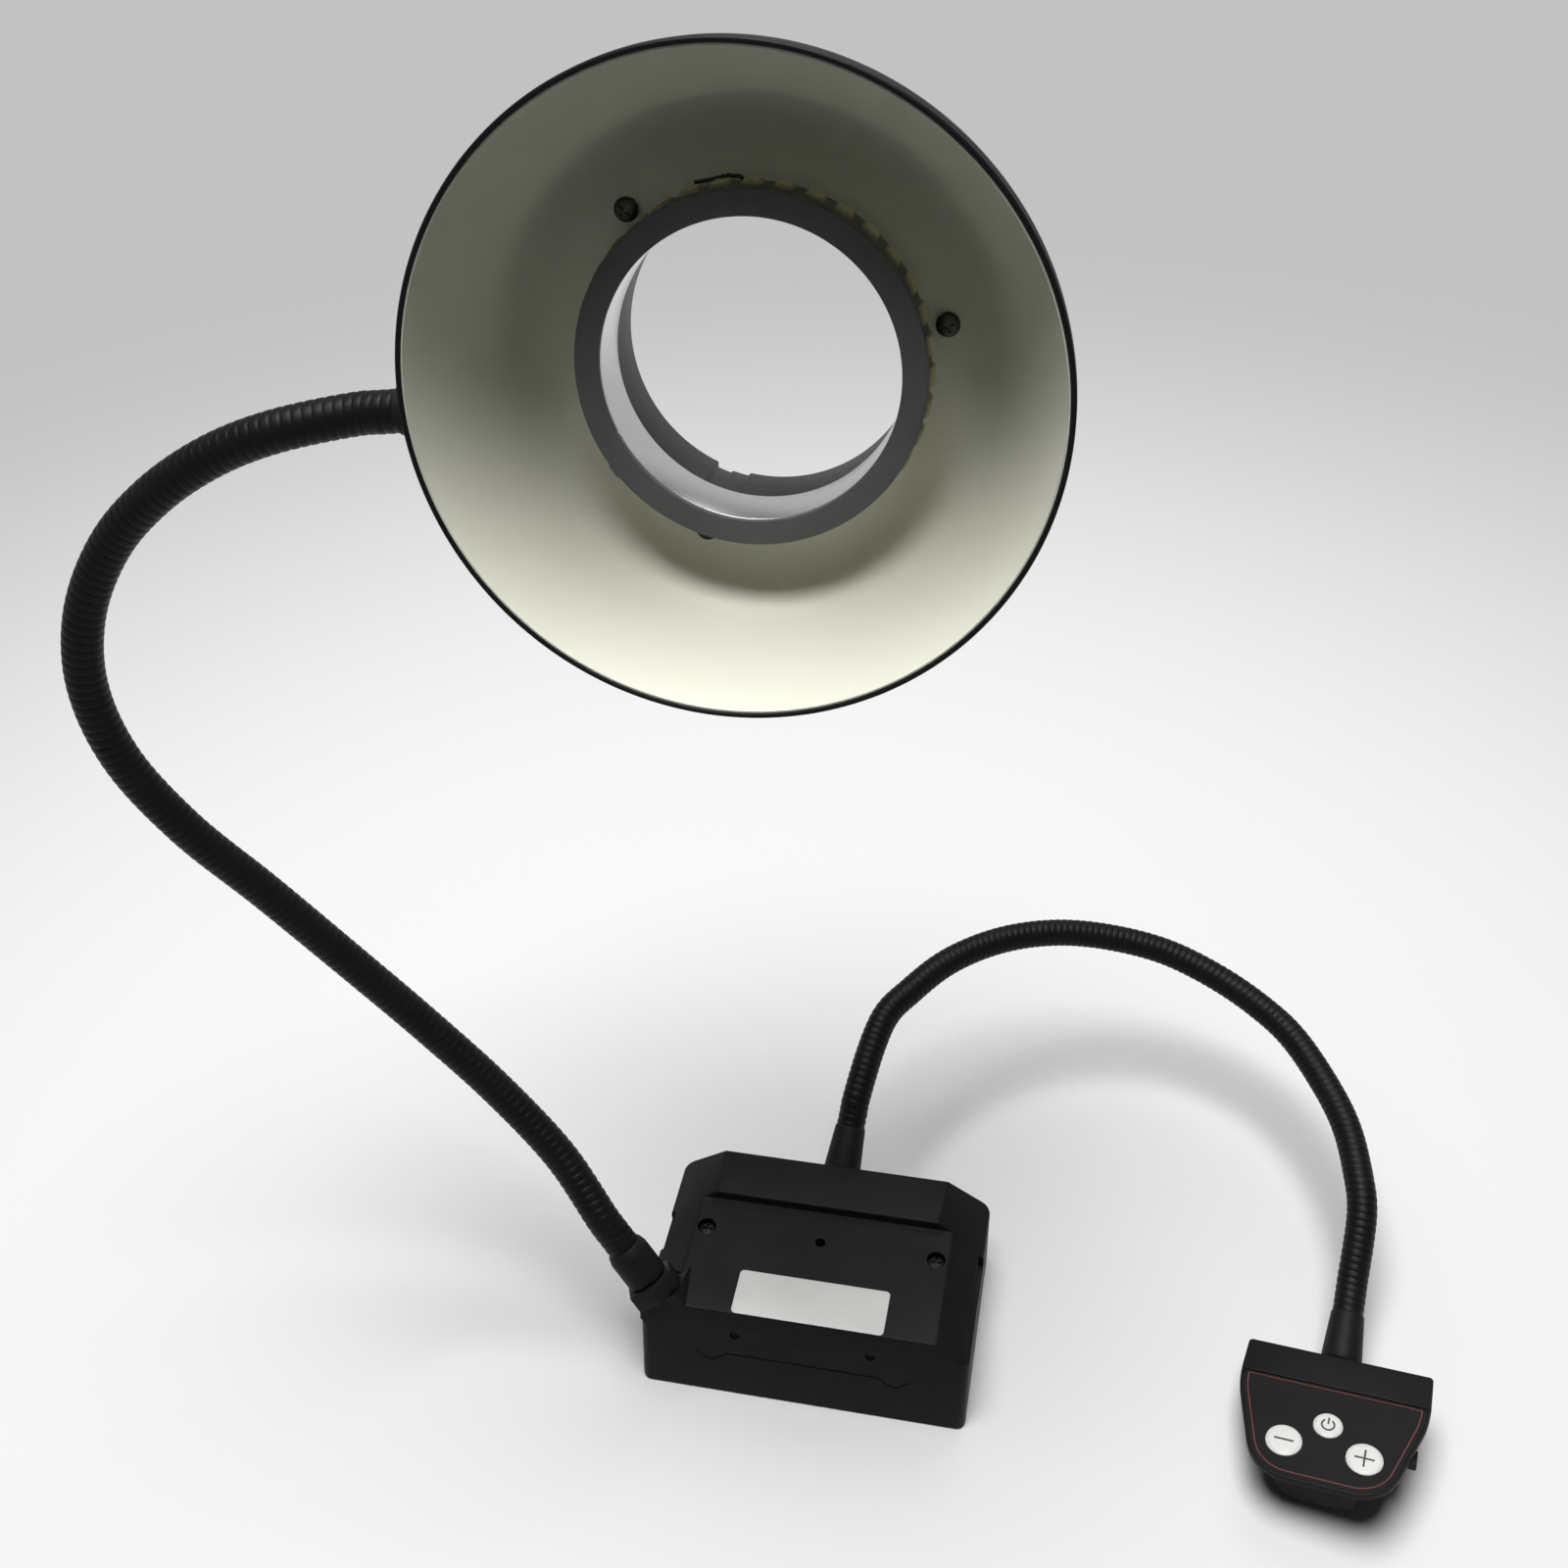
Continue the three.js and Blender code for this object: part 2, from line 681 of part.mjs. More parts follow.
function addBox() {
  addMesh(part, 'base_housing', baseHousing(), 'blackPlastic');
  addMesh(part, 'base_plate', basePlate(), 'steel');
  addMesh(part, 'driver_board', driverBoard(), 'board');
  addMesh(part, 'dc_inlet', dcInlet(), 'blackPlastic');
  addMesh(part, 'label_plate', labelPlate(), 'label');
  topHoles.forEach((x, i) => {
    const piece = screw(topScrewHeadRadius, topScrewHeadHeight, screwShankRadius, topScrewLength);
    addMesh(part, `top_screw_${i + 1}`, piece.translate(x, topHoleY, topSeat + seatGap), 'darkScrew');
  });
  frontHoles.forEach((x, i) => {
    const piece = screw(frontScrewHeadRadius, frontScrewHeadHeight, frontScrewShankRadius, frontScrewLength);
    const seat = along(onFront(x, frontHoleHeight), frontNormal, seatGap - frontSeat);
    addMesh(part, `front_screw_${i + 1}`, aim(piece, seat, frontNormal), 'darkScrew');
  });
}

// Arms

// A bored ferrule along Z with a stud below its seat. Past its straight share it narrows to its neck.
function ferrule(size, low, stud, studDepth) {
  const { radius, neck, length, straightShare } = size;
  return revolve([
    [leadBore, -studDepth], [stud, -studDepth], [stud, low], [radius, low],
    [radius, low + length * straightShare], [neck, low + length], [leadBore, low + length],
  ], plainSides);
}

const armFerruleSize = {
  radius: armFerruleRadius,
  neck: armFerruleNeck,
  length: armFerruleLength,
  straightShare: armFerruleStraightShare,
};
const loopFerruleSize = {
  radius: loopFerruleRadius,
  neck: loopFerruleNeck,
  length: loopFerruleLength,
  straightShare: loopFerruleStraightShare,
};

// The points of a route: straight at both ends, and between them shares of the line from seat to end
function routePoints(seat, start, startAxis, end, endAxis, straight, rows, asideOf) {
  const leave = [0, 1 / 2, 1].map((share) => along(start, startAxis, straight * share));
  const arrive = [1, 1 / 2, 0].map((share) => along(end, endAxis, straight * share));
  const between = rows.map((row) => seat.clone().lerp(end, row[0]).add(asideOf(row)));
  return [...leave, ...between, ...arrive];
}

const armNutLow = armPadRise + seatGap;
const armFerruleLow = armNutLow + armNutHeight + seatGap;
const armFoot = along(armSeat, armAxis, armFerruleLow + armFerruleLength + seatGap);
const hoodRadial = new THREE.Vector3(Math.cos(hoodBossAngle), Math.sin(hoodBossAngle), 0);
const hoodBossFace = rimRadius + hoodBossRise;
const hoodBossRoot = rimRadius - hoodBossSink;
const hoodCollarLow = hoodBossFace + seatGap;
const armEndCircle = hoodCollarLow + hoodCollarLength + seatGap;
const armTip = hood.localToWorld(
  hoodRadial.clone().multiplyScalar(armEndCircle).add(new THREE.Vector3(0, 0, -hoodBossDepth)),
);
const armTipAxis = hoodRadial.clone().transformDirection(hood.matrixWorld);

const armRouteShares = [
  [0.14, 0.25, 0.78], [0.21, 0.4, 1.01], [0.29, 0.555, 0.96], [0.38, 0.705, 0.7], [0.475, 0.83, 0.25],
  [0.57, 0.94, -0.31], [0.655, 1.003, -0.64], [0.735, 0.995, -0.8], [0.81, 0.92, -0.82],
  [0.876, 0.792, -0.72], [0.925, 0.637, -0.66], [0.96, 0.475, -0.53], [0.983, 0.31, -0.39],
];

const loopFerruleLow = loopBossRise + seatGap;
const loopFoot = along(loopSeat, loopAxis, loopFerruleLow + loopFerruleLength + seatGap);
const podArmAxis = new THREE.Vector3(0, Math.cos(podArmLift), Math.sin(podArmLift));
const podFerruleEnd = loopFerruleLength + 2 * seatGap;
const loopTip = pod.localToWorld(along(podSeat, podArmAxis, podFerruleEnd));
const loopTipAxis = podArmAxis.clone().transformDirection(pod.matrixWorld);

const loopRouteShares = [
  [0.046, 0.453, 0.803], [0.09, 0.565, 0.88], [0.16, 0.705, 0.96], [0.261, 0.839, 0.997],
  [0.37, 0.93, 0.995], [0.478, 0.983, 0.951], [0.608, 1, 0.889], [0.72, 0.965, 0.816], [0.81, 0.9, 0.76],
  [0.88, 0.815, 0.72], [0.95, 0.66, 0.65], [0.99, 0.53, 0.59], [1.012, 0.377, 0.506], [1.02, 0.28, 0.411],
];

const longArm = {
  name: 'long_arm',
  radius: armRadius,
  root: armRootRadius,
  pitch: armPitch,
  hinges: armHinges,
  startAxis: armAxis,
  endAxis: armTipAxis.clone().negate(),
  across: new THREE.Vector3(0, 1, 0),
  points: routePoints(armSeat, armFoot, armAxis, armTip, armTipAxis, armStraight, armRouteShares,
    (row) => new THREE.Vector3(-armBulge * row[1], armSway * row[2], 0)),
};

const shortArm = {
  name: 'short_arm',
  radius: loopRadius,
  root: loopRootRadius,
  pitch: loopPitch,
  hinges: loopHinges,
  startAxis: loopAxis,
  endAxis: loopTipAxis.clone().negate(),
  across: new THREE.Vector3(0, 0, 1),
  points: routePoints(loopSeat, loopFoot, loopAxis, loopTip, loopTipAxis, loopStraight, loopRouteShares,
    (row) => new THREE.Vector3(0, loopReach * row[1], loopRise * row[2])),
};

[longArm, shortArm].forEach((arm) => {
  arm.curve = new THREE.CatmullRomCurve3(arm.points, false, 'centripetal');
  arm.length = arm.curve.getLength();
});

// A place on an arm with the directions round it. One of them keeps to the arm's own side.
function frameAt(arm, station) {
  const share = Math.min(Math.max(station / arm.length, 0), 1);
  let tangent = arm.curve.getTangentAt(share);
  if (share === 0) {
    tangent = arm.startAxis.clone();
  } else if (share === 1) {
    tangent = arm.endAxis.clone();
  }
  const side = arm.across.clone().addScaledVector(tangent, -arm.across.dot(tangent)).normalize();
  const other = tangent.clone().cross(side);
  return { point: arm.curve.getPointAt(share), tangent, side, other };
}

function ring(frame, radius, offset = 0) {
  const points = [];
  for (let k = 0; k < tubeSides; k += 1) {
    const angle = (2 * Math.PI * k) / tubeSides;
    const point = frame.point.clone().addScaledVector(frame.tangent, offset);
    point.addScaledVector(frame.side, radius * Math.cos(angle));
    points.push(point.addScaledVector(frame.other, radius * Math.sin(angle)));
  }
  return points;
}

function hingeStation(arm, i) {
  return (arm.length * (i + 1 / 2)) / arm.hinges;
}

// The ball at a stretch's far end turns in the bore of the next stretch
function ballRings(frame) {
  const half = hingeGap / 2;
  const shoulder = hingeBall / 2;
  return [
    ring(frame, Math.sqrt(hingeBall ** 2 - half ** 2), -half),
    ring(frame, hingeBall),
    ring(frame, Math.sqrt(hingeBall ** 2 - shoulder ** 2), shoulder),
    ring(frame, leadBore, Math.sqrt(hingeBall ** 2 - leadBore ** 2)),
    ring(frame, leadBore, -half - hingeWeb),
  ];
}

// One stretch of an arm: ribs outside, a plain bore inside, a socket before it and a ball after it
function armStretch(arm, i) {
  const half = hingeGap / 2;
  const isFirst = i === 0;
  const isLast = i === arm.hinges;
  const low = isFirst ? 0 : hingeStation(arm, i - 1);
  const high = isLast ? arm.length : hingeStation(arm, i);
  const start = frameAt(arm, low);
  const end = frameAt(arm, high);
  const from = isFirst ? low : low + half;
  const to = isLast ? high : high - half;
  const ribs = Math.round((to - from) / arm.pitch);
  const step = (to - from) / ribs;
  const rings = [ring(start, arm.root, from - low)];
  for (let k = 0; k < ribs; k += 1) {
    rings.push(ring(frameAt(arm, from + step * (k + 1 / 2)), arm.radius));
    if (k < ribs - 1) {
      rings.push(ring(frameAt(arm, from + step * (k + 1)), arm.root));
    }
  }
  rings.push(ring(end, arm.root, to - high));
  if (isLast) {
    rings.push(ring(end, armBore));
  } else {
    rings.push(...ballRings(end), ring(end, armBore, -half - hingeWeb));
  }
  const boreSteps = Math.ceil(ribs / ribsPerBoreRing);
  for (let k = boreSteps - 1; k > 0; k -= 1) {
    rings.push(ring(frameAt(arm, from + ((to - from) * k) / boreSteps), armBore));
  }
  rings.push(ring(start, armBore, from - low));
  return loft(rings);
}

// Where the arms turn, as point and axis in the part's frame
part.userData.hinges = [];

function addArm(arm) {
  for (let i = 0; i <= arm.hinges; i += 1) {
    addMesh(part, `${arm.name}_${i + 1}`, armStretch(arm, i), 'blackMetal');
  }
  for (let i = 0; i < arm.hinges; i += 1) {
    const frame = frameAt(arm, hingeStation(arm, i));
    const axis = i % 2 === 0 ? frame.side : frame.other;
    part.userData.hinges.push({ name: `${arm.name}_${i + 1}`, point: frame.point, axis });
  }
}

function addArmFittings() {
  const nutSides = 6;
  const nut = cut(
    rod(armNutRadius, armNutLow, armNutLow + armNutHeight, nutSides),
    rod(armStudRadius + seatGap, 0, armFerruleLow),
  );
  addMesh(part, 'arm_nut', aim(nut, armSeat, armAxis), 'blackMetal');
  const long = ferrule(armFerruleSize, armFerruleLow, armStudRadius, armStudDepth);
  addMesh(part, 'arm_ferrule', aim(long, armSeat, armAxis), 'ferruleBlack');
  const short = ferrule(loopFerruleSize, loopFerruleLow, loopStudRadius, loopStudDepth);
  addMesh(part, 'short_arm_ferrule', aim(short, loopSeat, loopAxis), 'ferruleBlack');
}

// Hood. In its own frame the rim lies at z = 0 and depths run along -z.

const hoodDepth = reflectorDepth + hoodBackRoom;
const collarEnd = hoodDepth + collarReach;
const ledStripBack = reflectorDepth - ledStripGap;
const ledStripFront = ledStripBack - ledStripWidth;
const flangeDepth = ledStripFront - flangeGap - flangeThickness;
const leadDepth = reflectorDepth + leadBackGap;
const leadTopDepth = reflectorDepth - leadRise;
const backPlateFront = hoodDepth - hoodWall;
const collarFootFront = backPlateFront - seatGap - collarFoot;
const coreEnd = collarFootFront - seatGap;
const coreFootRadius = reflectorScrewCircle - postRadius - seatGap;
const reflectorBack = reflectorDepth + reflectorWall;
const postEnd = reflectorBack + seatGap;
const reflectorRim = rimRadius - hoodWall - seatGap;
const screwAngles = Array.from({ length: reflectorScrews }, (_, i) => (
  reflectorScrewAngle + (2 * Math.PI * i) / reflectorScrews
));

function onCircle(radius, angle, depth = 0) {
  return new THREE.Vector3(radius * Math.cos(angle), radius * Math.sin(angle), -depth);
}

// A rod at each of the reflector's screws, between two depths
function rodsAtScrews(radius, back, front) {
  return screwAngles.map((angle) => {
    const at = onCircle(reflectorScrewCircle, angle);
    return rod(radius, -back, -front, screwSides).translate(at.x, at.y, 0);
  });
}

// The rounded back of the hood as a quarter ellipse, moved inwards by the wall
function hoodCurve(inset) {
  const points = [];
  for (let i = 0; i <= hoodSteps; i += 1) {
    const angle = (Math.PI * i) / hoodSteps / 2;
    const radius = hoodBackRadius + (rimRadius - hoodBackRadius - inset) * Math.cos(angle);
    points.push([radius, -skirtDepth - (hoodDepth - skirtDepth - inset) * Math.sin(angle)]);
  }
  return points;
}

function hoodShell() {
  const hole = collarRadius + seatGap;
  const shell = revolve([
    [rimRadius, 0], ...hoodCurve(0), [hole, -hoodDepth], [hole, -backPlateFront],
    ...hoodCurve(hoodWall).reverse(), [rimRadius - hoodWall, 0],
  ]);
  const posts = rodsAtScrews(postRadius, backPlateFront + hoodWall / 2, postEnd);
  const pilots = rodsAtScrews(screwShankRadius + seatGap, backPlateFront, reflectorDepth);
  const place = onCircle(0, 0, hoodBossDepth);
  const boss = aim(rod(hoodBossRadius, hoodBossRoot, hoodBossFace), place, hoodRadial);
  const bossHole = aim(
    rod(hoodStudRadius + seatGap, reflectorFlatRadius, rimRadius + hoodBossRadius), place, hoodRadial,
  );
  return cut(join(shell, boss, ...posts), ...pilots, bossHole);
}

// The bowl of the reflector, moved back by the wall for its rear side
function reflectorCurvePoints(back) {
  const points = [];
  for (let i = 0; i <= hoodSteps; i += 1) {
    const share = i / hoodSteps;
    const rise = (reflectorDepth - reflectorLipDepth) * share ** reflectorCurve;
    const radius = reflectorFlatRadius + (reflectorRim - reflectorWall - reflectorFlatRadius) * share;
    points.push([radius + back * share, -reflectorDepth + rise - back * (1 - share)]);
  }
  return points;
}

function reflectorBowl() {
  const hole = coreRadius + seatGap;
  const bowl = revolve([
    [hole, -reflectorDepth], ...reflectorCurvePoints(0), ...reflectorCurvePoints(reflectorWall).reverse(),
    [hole, -reflectorBack],
  ]);
  const behind = reflectorBack + overrun;
  const ahead = reflectorDepth - overrun;
  const exit = onCircle(leadExitCircle, leadExitAngle);
  const leadHole = rod(leadExitRadius, -behind, -ahead, screwSides).translate(exit.x, exit.y, 0);
  return cut(bowl, ...rodsAtScrews(screwShankRadius + seatGap, behind, ahead), leadHole);
}

function ledCore() {
  const front = flangeDepth + flangeThickness + seatGap;
  const foot = coreEnd - coreFoot;
  return revolve([
    [boreRadius, -front], [coreRadius, -front], [coreRadius, -foot], [coreFootRadius, -foot],
    [coreFootRadius, -coreEnd], [boreRadius, -coreEnd],
  ], coreSides);
}

function rearCollar() {
  const collar = revolve([
    [collarBore, -collarFootFront], [coreFootRadius, -collarFootFront],
    [coreFootRadius, -collarFootFront - collarFoot], [collarRadius, -collarFootFront - collarFoot],
    [collarRadius, -collarEnd], [collarBore, -collarEnd],
  ], coreSides);
  const half = collarNotchWidth / 2;
  const notch = block(
    [0, -half, -collarEnd - overrun], [collarBore + collarNotchDepth, half, -collarEnd + collarNotchLength],
  );
  return cut(collar, notch.rotateZ(collarNotchAngle));
}

// A flexible strip round the core with its light chips standing out of it
function ledStrip() {
  const inner = coreRadius + seatGap;
  const face = inner + ledStripWall;
  const pitch = (2 * Math.PI) / ledCount;
  const half = (pitch * ledWidthShare) / 2;
  const outline = [];
  const hole = [];
  for (let i = 0; i < ledCount; i += 1) {
    const angle = pitch * i;
    const spots = [[face, -half], [face + ledHeight, -half], [face + ledHeight, half], [face, half]];
    spots.forEach(([radius, turn]) => outline.push(onCircle(radius, angle + turn).toArray()));
    hole.push(onCircle(inner, angle).toArray());
  }
  return slab(outline, -ledStripBack, -ledStripFront, hole);
}

// How the lead falls behind the reflector: shares across to its circle and down to its depth
const leadFallShares = [
  [0.968, 0], [0.88, 0], [0.802, 0.004], [0.724, 0.056], [0.668, 0.185], [0.498, 0.556], [0.253, 0.85],
];

// The lead runs from the arm's stud round behind the reflector and up through it to the strip
function hoodLead() {
  const stripFace = coreRadius + seatGap + ledStripWall + ledHeight;
  const startAngle = hoodBossAngle + 2 * Math.PI;
  const sweep = startAngle - leadExitAngle;
  const rows = leadFallShares.map(([across, down]) => [
    leadCircle + (hoodBossFace - leadCircle) * across, startAngle,
    hoodBossDepth + (leadDepth - hoodBossDepth) * down,
  ]);
  for (let i = 1; i < leadArcSteps; i += 1) {
    rows.push([leadCircle, startAngle - (sweep * i) / leadArcSteps, leadDepth]);
  }
  rows.push(
    [(leadCircle + leadExitCircle) / 2, leadExitAngle, leadDepth],
    [leadExitCircle, leadExitAngle, reflectorBack],
    [leadExitCircle, leadExitAngle, reflectorDepth - leadExitRadius],
    [(leadExitCircle + stripFace) / 2 + leadRadius, leadExitAngle, leadTopDepth],
    [stripFace + leadRadius + seatGap, leadExitAngle, leadTopDepth + leadRadius],
  );
  const route = new THREE.CatmullRomCurve3(
    rows.map(([radius, angle, depth]) => onCircle(radius, angle, depth)), false, 'centripetal',
  );
  const section = [];
  for (let k = 0; k < tubeSides; k += 1) {
    const angle = (2 * Math.PI * k) / tubeSides;
    section.push(new THREE.Vector2(leadRadius * Math.cos(angle), leadRadius * Math.sin(angle)));
  }
  return new THREE.ExtrudeGeometry(new THREE.Shape(section), {
    steps: Math.round(route.getLength() / leadStep), extrudePath: route,
  });
}

function addHood() {
  addMesh(hood, 'hood_shell', hoodShell(), 'blackMetal');
  addMesh(hood, 'reflector', reflectorBowl(), 'reflector');
  addMesh(hood, 'led_core', ledCore(), 'silver');
  const flange = tube(boreRadius, flangeRadius, -flangeDepth - flangeThickness, -flangeDepth, coreSides);
  addMesh(hood, 'front_flange', flange, 'flangeGrey');
  addMesh(hood, 'rear_collar', rearCollar(), 'blackMetal');
  addMesh(hood, 'led_strip', ledStrip(), 'ledYellow');
  addMesh(hood, 'hood_lead', hoodLead(), 'blackPlastic');
  screwAngles.forEach((angle, i) => {
    const piece = screw(reflectorScrewHead, reflectorScrewHeadHeight, screwShankRadius, reflectorScrewLength);
    const at = onCircle(reflectorScrewCircle, angle, reflectorDepth - seatGap);
    addMesh(hood, `reflector_screw_${i + 1}`, piece.translate(at.x, at.y, at.z), 'darkScrew');
  });
  const studEnd = hoodCollarLow - hoodStudLength;
  const collarTop = hoodCollarLow + hoodCollarLength;
  const collar = revolve([
    [leadBore, studEnd], [hoodStudRadius, studEnd], [hoodStudRadius, hoodCollarLow],
    [hoodCollarRadius, hoodCollarLow], [hoodCollarRadius, collarTop], [leadBore, collarTop],
  ], plainSides);
  addMesh(hood, 'hood_collar', aim(collar, onCircle(0, 0, hoodBossDepth), hoodRadial), 'ferruleBlack');
}

// Keypad. In its own frame its face lies at z = 0.

const bigButton = { radius: bigButtonRadius, y: -bigButtonRow };
const buttons = [
  { name: 'minus_button', x: -bigButtonPlace, ...bigButton },
  { name: 'plus_button', x: bigButtonPlace, ...bigButton },
  { name: 'power_button', x: 0, radius: smallButtonRadius, y: -smallButtonRow },
];
const podScrews = [-podScrewPlace, podScrewPlace];

// The keypad seen from above, anticlockwise from its rear left corner
function podOutline(inset, back = podBand) {
  const left = [
    [-podBandHalfWidth, back, podBandRadius], [-podHalfWidth, 0, 0],
    [-podShoulderHalfWidth, -podShoulder, podShoulderRadius], [-podFrontHalfWidth, -podFront, podFrontRadius],
  ];
  const right = left.map(([x, y, radius]) => [-x, y, radius]).reverse();
  const rows = [...left, ...right];
  const corners = insetOutline(rows.map(([x, y]) => [x, y]), inset);
  return roundedOutline(corners, rows.map(([, , radius]) => (
    radius === 0 ? 0 : Math.max(radius - inset, seatGap)
  )));
}

function podRing(inset, depth) {
  return podOutline(inset, podBand + podHullInset + podWall).map(([x, y]) => new THREE.Vector3(x, y, -depth));
}

// Everything ahead of a line across the keypad, between a depth and a height
function aheadOf(y, depth, high) {
  return block([-2 * podHalfWidth, -2 * podFront, -depth], [2 * podHalfWidth, y, high]);
}

function podFoot() {
  const left = -podFootLeft;
  const corners = [
    [left, -podFootFront], [podFootRight, -podFootFront], [podFootRight, -podFootBack], [left, -podFootBack],
  ];
  const radii = [podFootLeftRadius, podFootRightRadius, podFootRightRadius, podFootLeftRadius];
  return slab(roundedOutline(corners, radii), -podFootDepth, -faceThickness);
}

function podBody() {
  const hull = loft([podRing(podHullTopInset, faceThickness), podRing(podHullInset, podHull)], true);
  const band = slab(podOutline(0), -faceThickness, 0);
  const prism = slab(podOutline(0), -podHull, 0);
  const hollow = loft([
    podRing(podHullTopInset + podWall, podBandWall), podRing(podHullInset + podWall, podHull - podWall),
  ], true);
  const tab = block(
    [0, -podTabPlace - podTabLength / 2, -faceThickness - podTabDepth],
    [podTabReach, -podTabPlace + podTabLength / 2, -faceThickness],
  );
  const boss = common(
    aim(rod(podBossRadius, -podBossDepth, 0), podSeat, podArmAxis),
    block([-podBossRadius, podBand - podWall, -podHull], [podBossRadius, 2 * podBand, podBossRadius]),
  );
  const bore = aim(rod(loopStudRadius + seatGap, -2 * podBossDepth, overrun), podSeat, podArmAxis);
  const inside = common(hollow, aheadOf(podBand - podWall, podHull, overrun));
  const screwHoles = podScrews.flatMap((x) => [
    rod(podScrewShank + seatGap, -podHull - overrun, 0, screwSides).translate(x, -podScrewRow, 0),
    rod(podScrewHead + seatGap, -podHull - overrun, podScrewHeadHeight - podHull, screwSides)
      .translate(x, -podScrewRow, 0),
  ]);
  const body = join(common(hull, prism), band, podFoot(), tab, boss);
  return cut(body, inside, aheadOf(0, faceThickness + seatGap, overrun), bore, ...screwHoles);
}

function buttonHoles(low) {
  return buttons.map(({ x, y, radius }) => rod(radius + buttonFit, low, overrun).translate(x, y, 0));
}

// The face plate holds the panel in a shallow recess and hangs on two posts
function podFace() {
  const plate = common(slab(podOutline(0), -faceThickness, 0), aheadOf(-seatGap, podHull, overrun));
  const recess = common(
    slab(podOutline(panelInset - buttonFit), -panelSink - panelThickness - seatGap, overrun),
    aheadOf(-seatGap - panelInset + buttonFit, podHull, overrun),
  );
  const end = -podHull + podWall + podScrewHeadHeight + seatGap;
  const posts = podScrews.map((x) => (
    rod(podPostRadius, end, -faceThickness + panelInset, screwSides).translate(x, -podScrewRow, 0)
  ));
  const pilots = podScrews.map((x) => (
    rod(podScrewShank + seatGap / 2, end - overrun, -faceThickness, screwSides).translate(x, -podScrewRow, 0)
  ));
  return cut(join(cut(plate, recess), ...posts), ...buttonHoles(-faceThickness - overrun), ...pilots);
}

function podPanel() {
  const top = -panelSink;
  const sheet = common(
    slab(podOutline(panelInset), top - panelThickness, top), aheadOf(-seatGap - panelInset, podHull, 0),
  );
  return cut(sheet, ...buttonHoles(top - panelThickness - overrun));
}

// A cap with a low crown, a flange under the face plate and a plunger over its switch
function buttonCap(radius) {
  const flangeTop = -faceThickness - seatGap;
  const flangeLow = flangeTop - buttonFlangeThickness;
  const crownShare = 0.7;
  return revolve([
    [0, flangeLow - buttonPlungerLength], [buttonPlunger, flangeLow - buttonPlungerLength],
    [buttonPlunger, flangeLow], [radius + buttonFlange, flangeLow], [radius + buttonFlange, flangeTop],
    [radius, flangeTop], [radius, 0], [radius * crownShare, buttonCrown], [0, buttonCrown],
  ], plainSides);
}

function podBoard() {
  const board = common(
    slab(podOutline(podBoardInset), -podBoardDepth - podBoardThickness, -podBoardDepth),
    aheadOf(-seatGap, podHull, 0),
  );
  const plungerEnd = faceThickness + seatGap + buttonFlangeThickness + buttonPlungerLength;
  const stemTop = -plungerEnd - buttonTravel - seatGap;
  const middle = -podBoardDepth - podBoardThickness / 2;
  const switches = buttons.flatMap(({ x, y }) => [
    rod(switchRadius, middle, switchHeight - podBoardDepth, screwSides).translate(x, y, 0),
    rod(switchStemRadius, middle, stemTop, screwSides).translate(x, y, 0),
  ]);
  const clearance = podScrews.map((x) => (
    rod(podPostRadius + seatGap, -podHull, 0, screwSides).translate(x, -podScrewRow, 0)
  ));
  return cut(join(board, ...switches), ...clearance);
}

function addPod() {
  addMesh(pod, 'keypad_body', podBody(), 'blackPlastic');
  addMesh(pod, 'keypad_face', podFace(), 'blackPlastic');
  addMesh(pod, 'keypad_panel', podPanel(), 'panel');
  addMesh(pod, 'keypad_board', podBoard(), 'board');
  buttons.forEach(({ name, x, y, radius }) => {
    addMesh(pod, name, buttonCap(radius).translate(x, y, 0), 'buttonWhite');
  });
  podScrews.forEach((x, i) => {
    const piece = screw(podScrewHead, podScrewHeadHeight, podScrewShank, podScrewLength).rotateX(Math.PI);
    const seat = podScrewHeadHeight - podHull - seatGap;
    addMesh(pod, `keypad_screw_${i + 1}`, piece.translate(x, -podScrewRow, seat), 'darkScrew');
  });
  const end = ferrule(loopFerruleSize, seatGap, loopStudRadius, loopStudDepth);
  addMesh(pod, 'keypad_ferrule', aim(end, podSeat, podArmAxis), 'ferruleBlack');
}

addBox();
addArmFittings();
addArm(longArm);
addArm(shortArm);
addHood();
addPod();

export default part;
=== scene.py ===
"""Looks of a ring light for a stereo microscope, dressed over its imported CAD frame."""

import logging
import math
from collections.abc import Callable, Iterable, Sequence
from dataclasses import dataclass, replace
from enum import Enum
from functools import partial

import bmesh
import bpy
from mathutils import Matrix, Vector


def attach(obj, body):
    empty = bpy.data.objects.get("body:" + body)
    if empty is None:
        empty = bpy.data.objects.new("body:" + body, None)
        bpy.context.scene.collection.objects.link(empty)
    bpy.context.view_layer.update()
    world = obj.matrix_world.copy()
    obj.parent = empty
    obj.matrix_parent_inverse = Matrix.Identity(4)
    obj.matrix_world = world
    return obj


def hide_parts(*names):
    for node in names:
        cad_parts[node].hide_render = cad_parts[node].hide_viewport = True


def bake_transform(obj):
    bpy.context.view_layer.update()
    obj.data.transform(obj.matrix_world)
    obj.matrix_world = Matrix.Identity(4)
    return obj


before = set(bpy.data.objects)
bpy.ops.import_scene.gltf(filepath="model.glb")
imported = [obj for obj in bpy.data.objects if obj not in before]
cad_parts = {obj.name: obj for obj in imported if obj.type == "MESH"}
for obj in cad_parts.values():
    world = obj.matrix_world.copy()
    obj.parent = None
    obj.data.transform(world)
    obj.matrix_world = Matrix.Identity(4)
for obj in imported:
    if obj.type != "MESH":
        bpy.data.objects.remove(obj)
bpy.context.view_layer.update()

log = logging.getLogger("ring_light")
MM = 0.001
Outline = list[tuple[float, float]]
Mesh = bmesh.types.BMesh

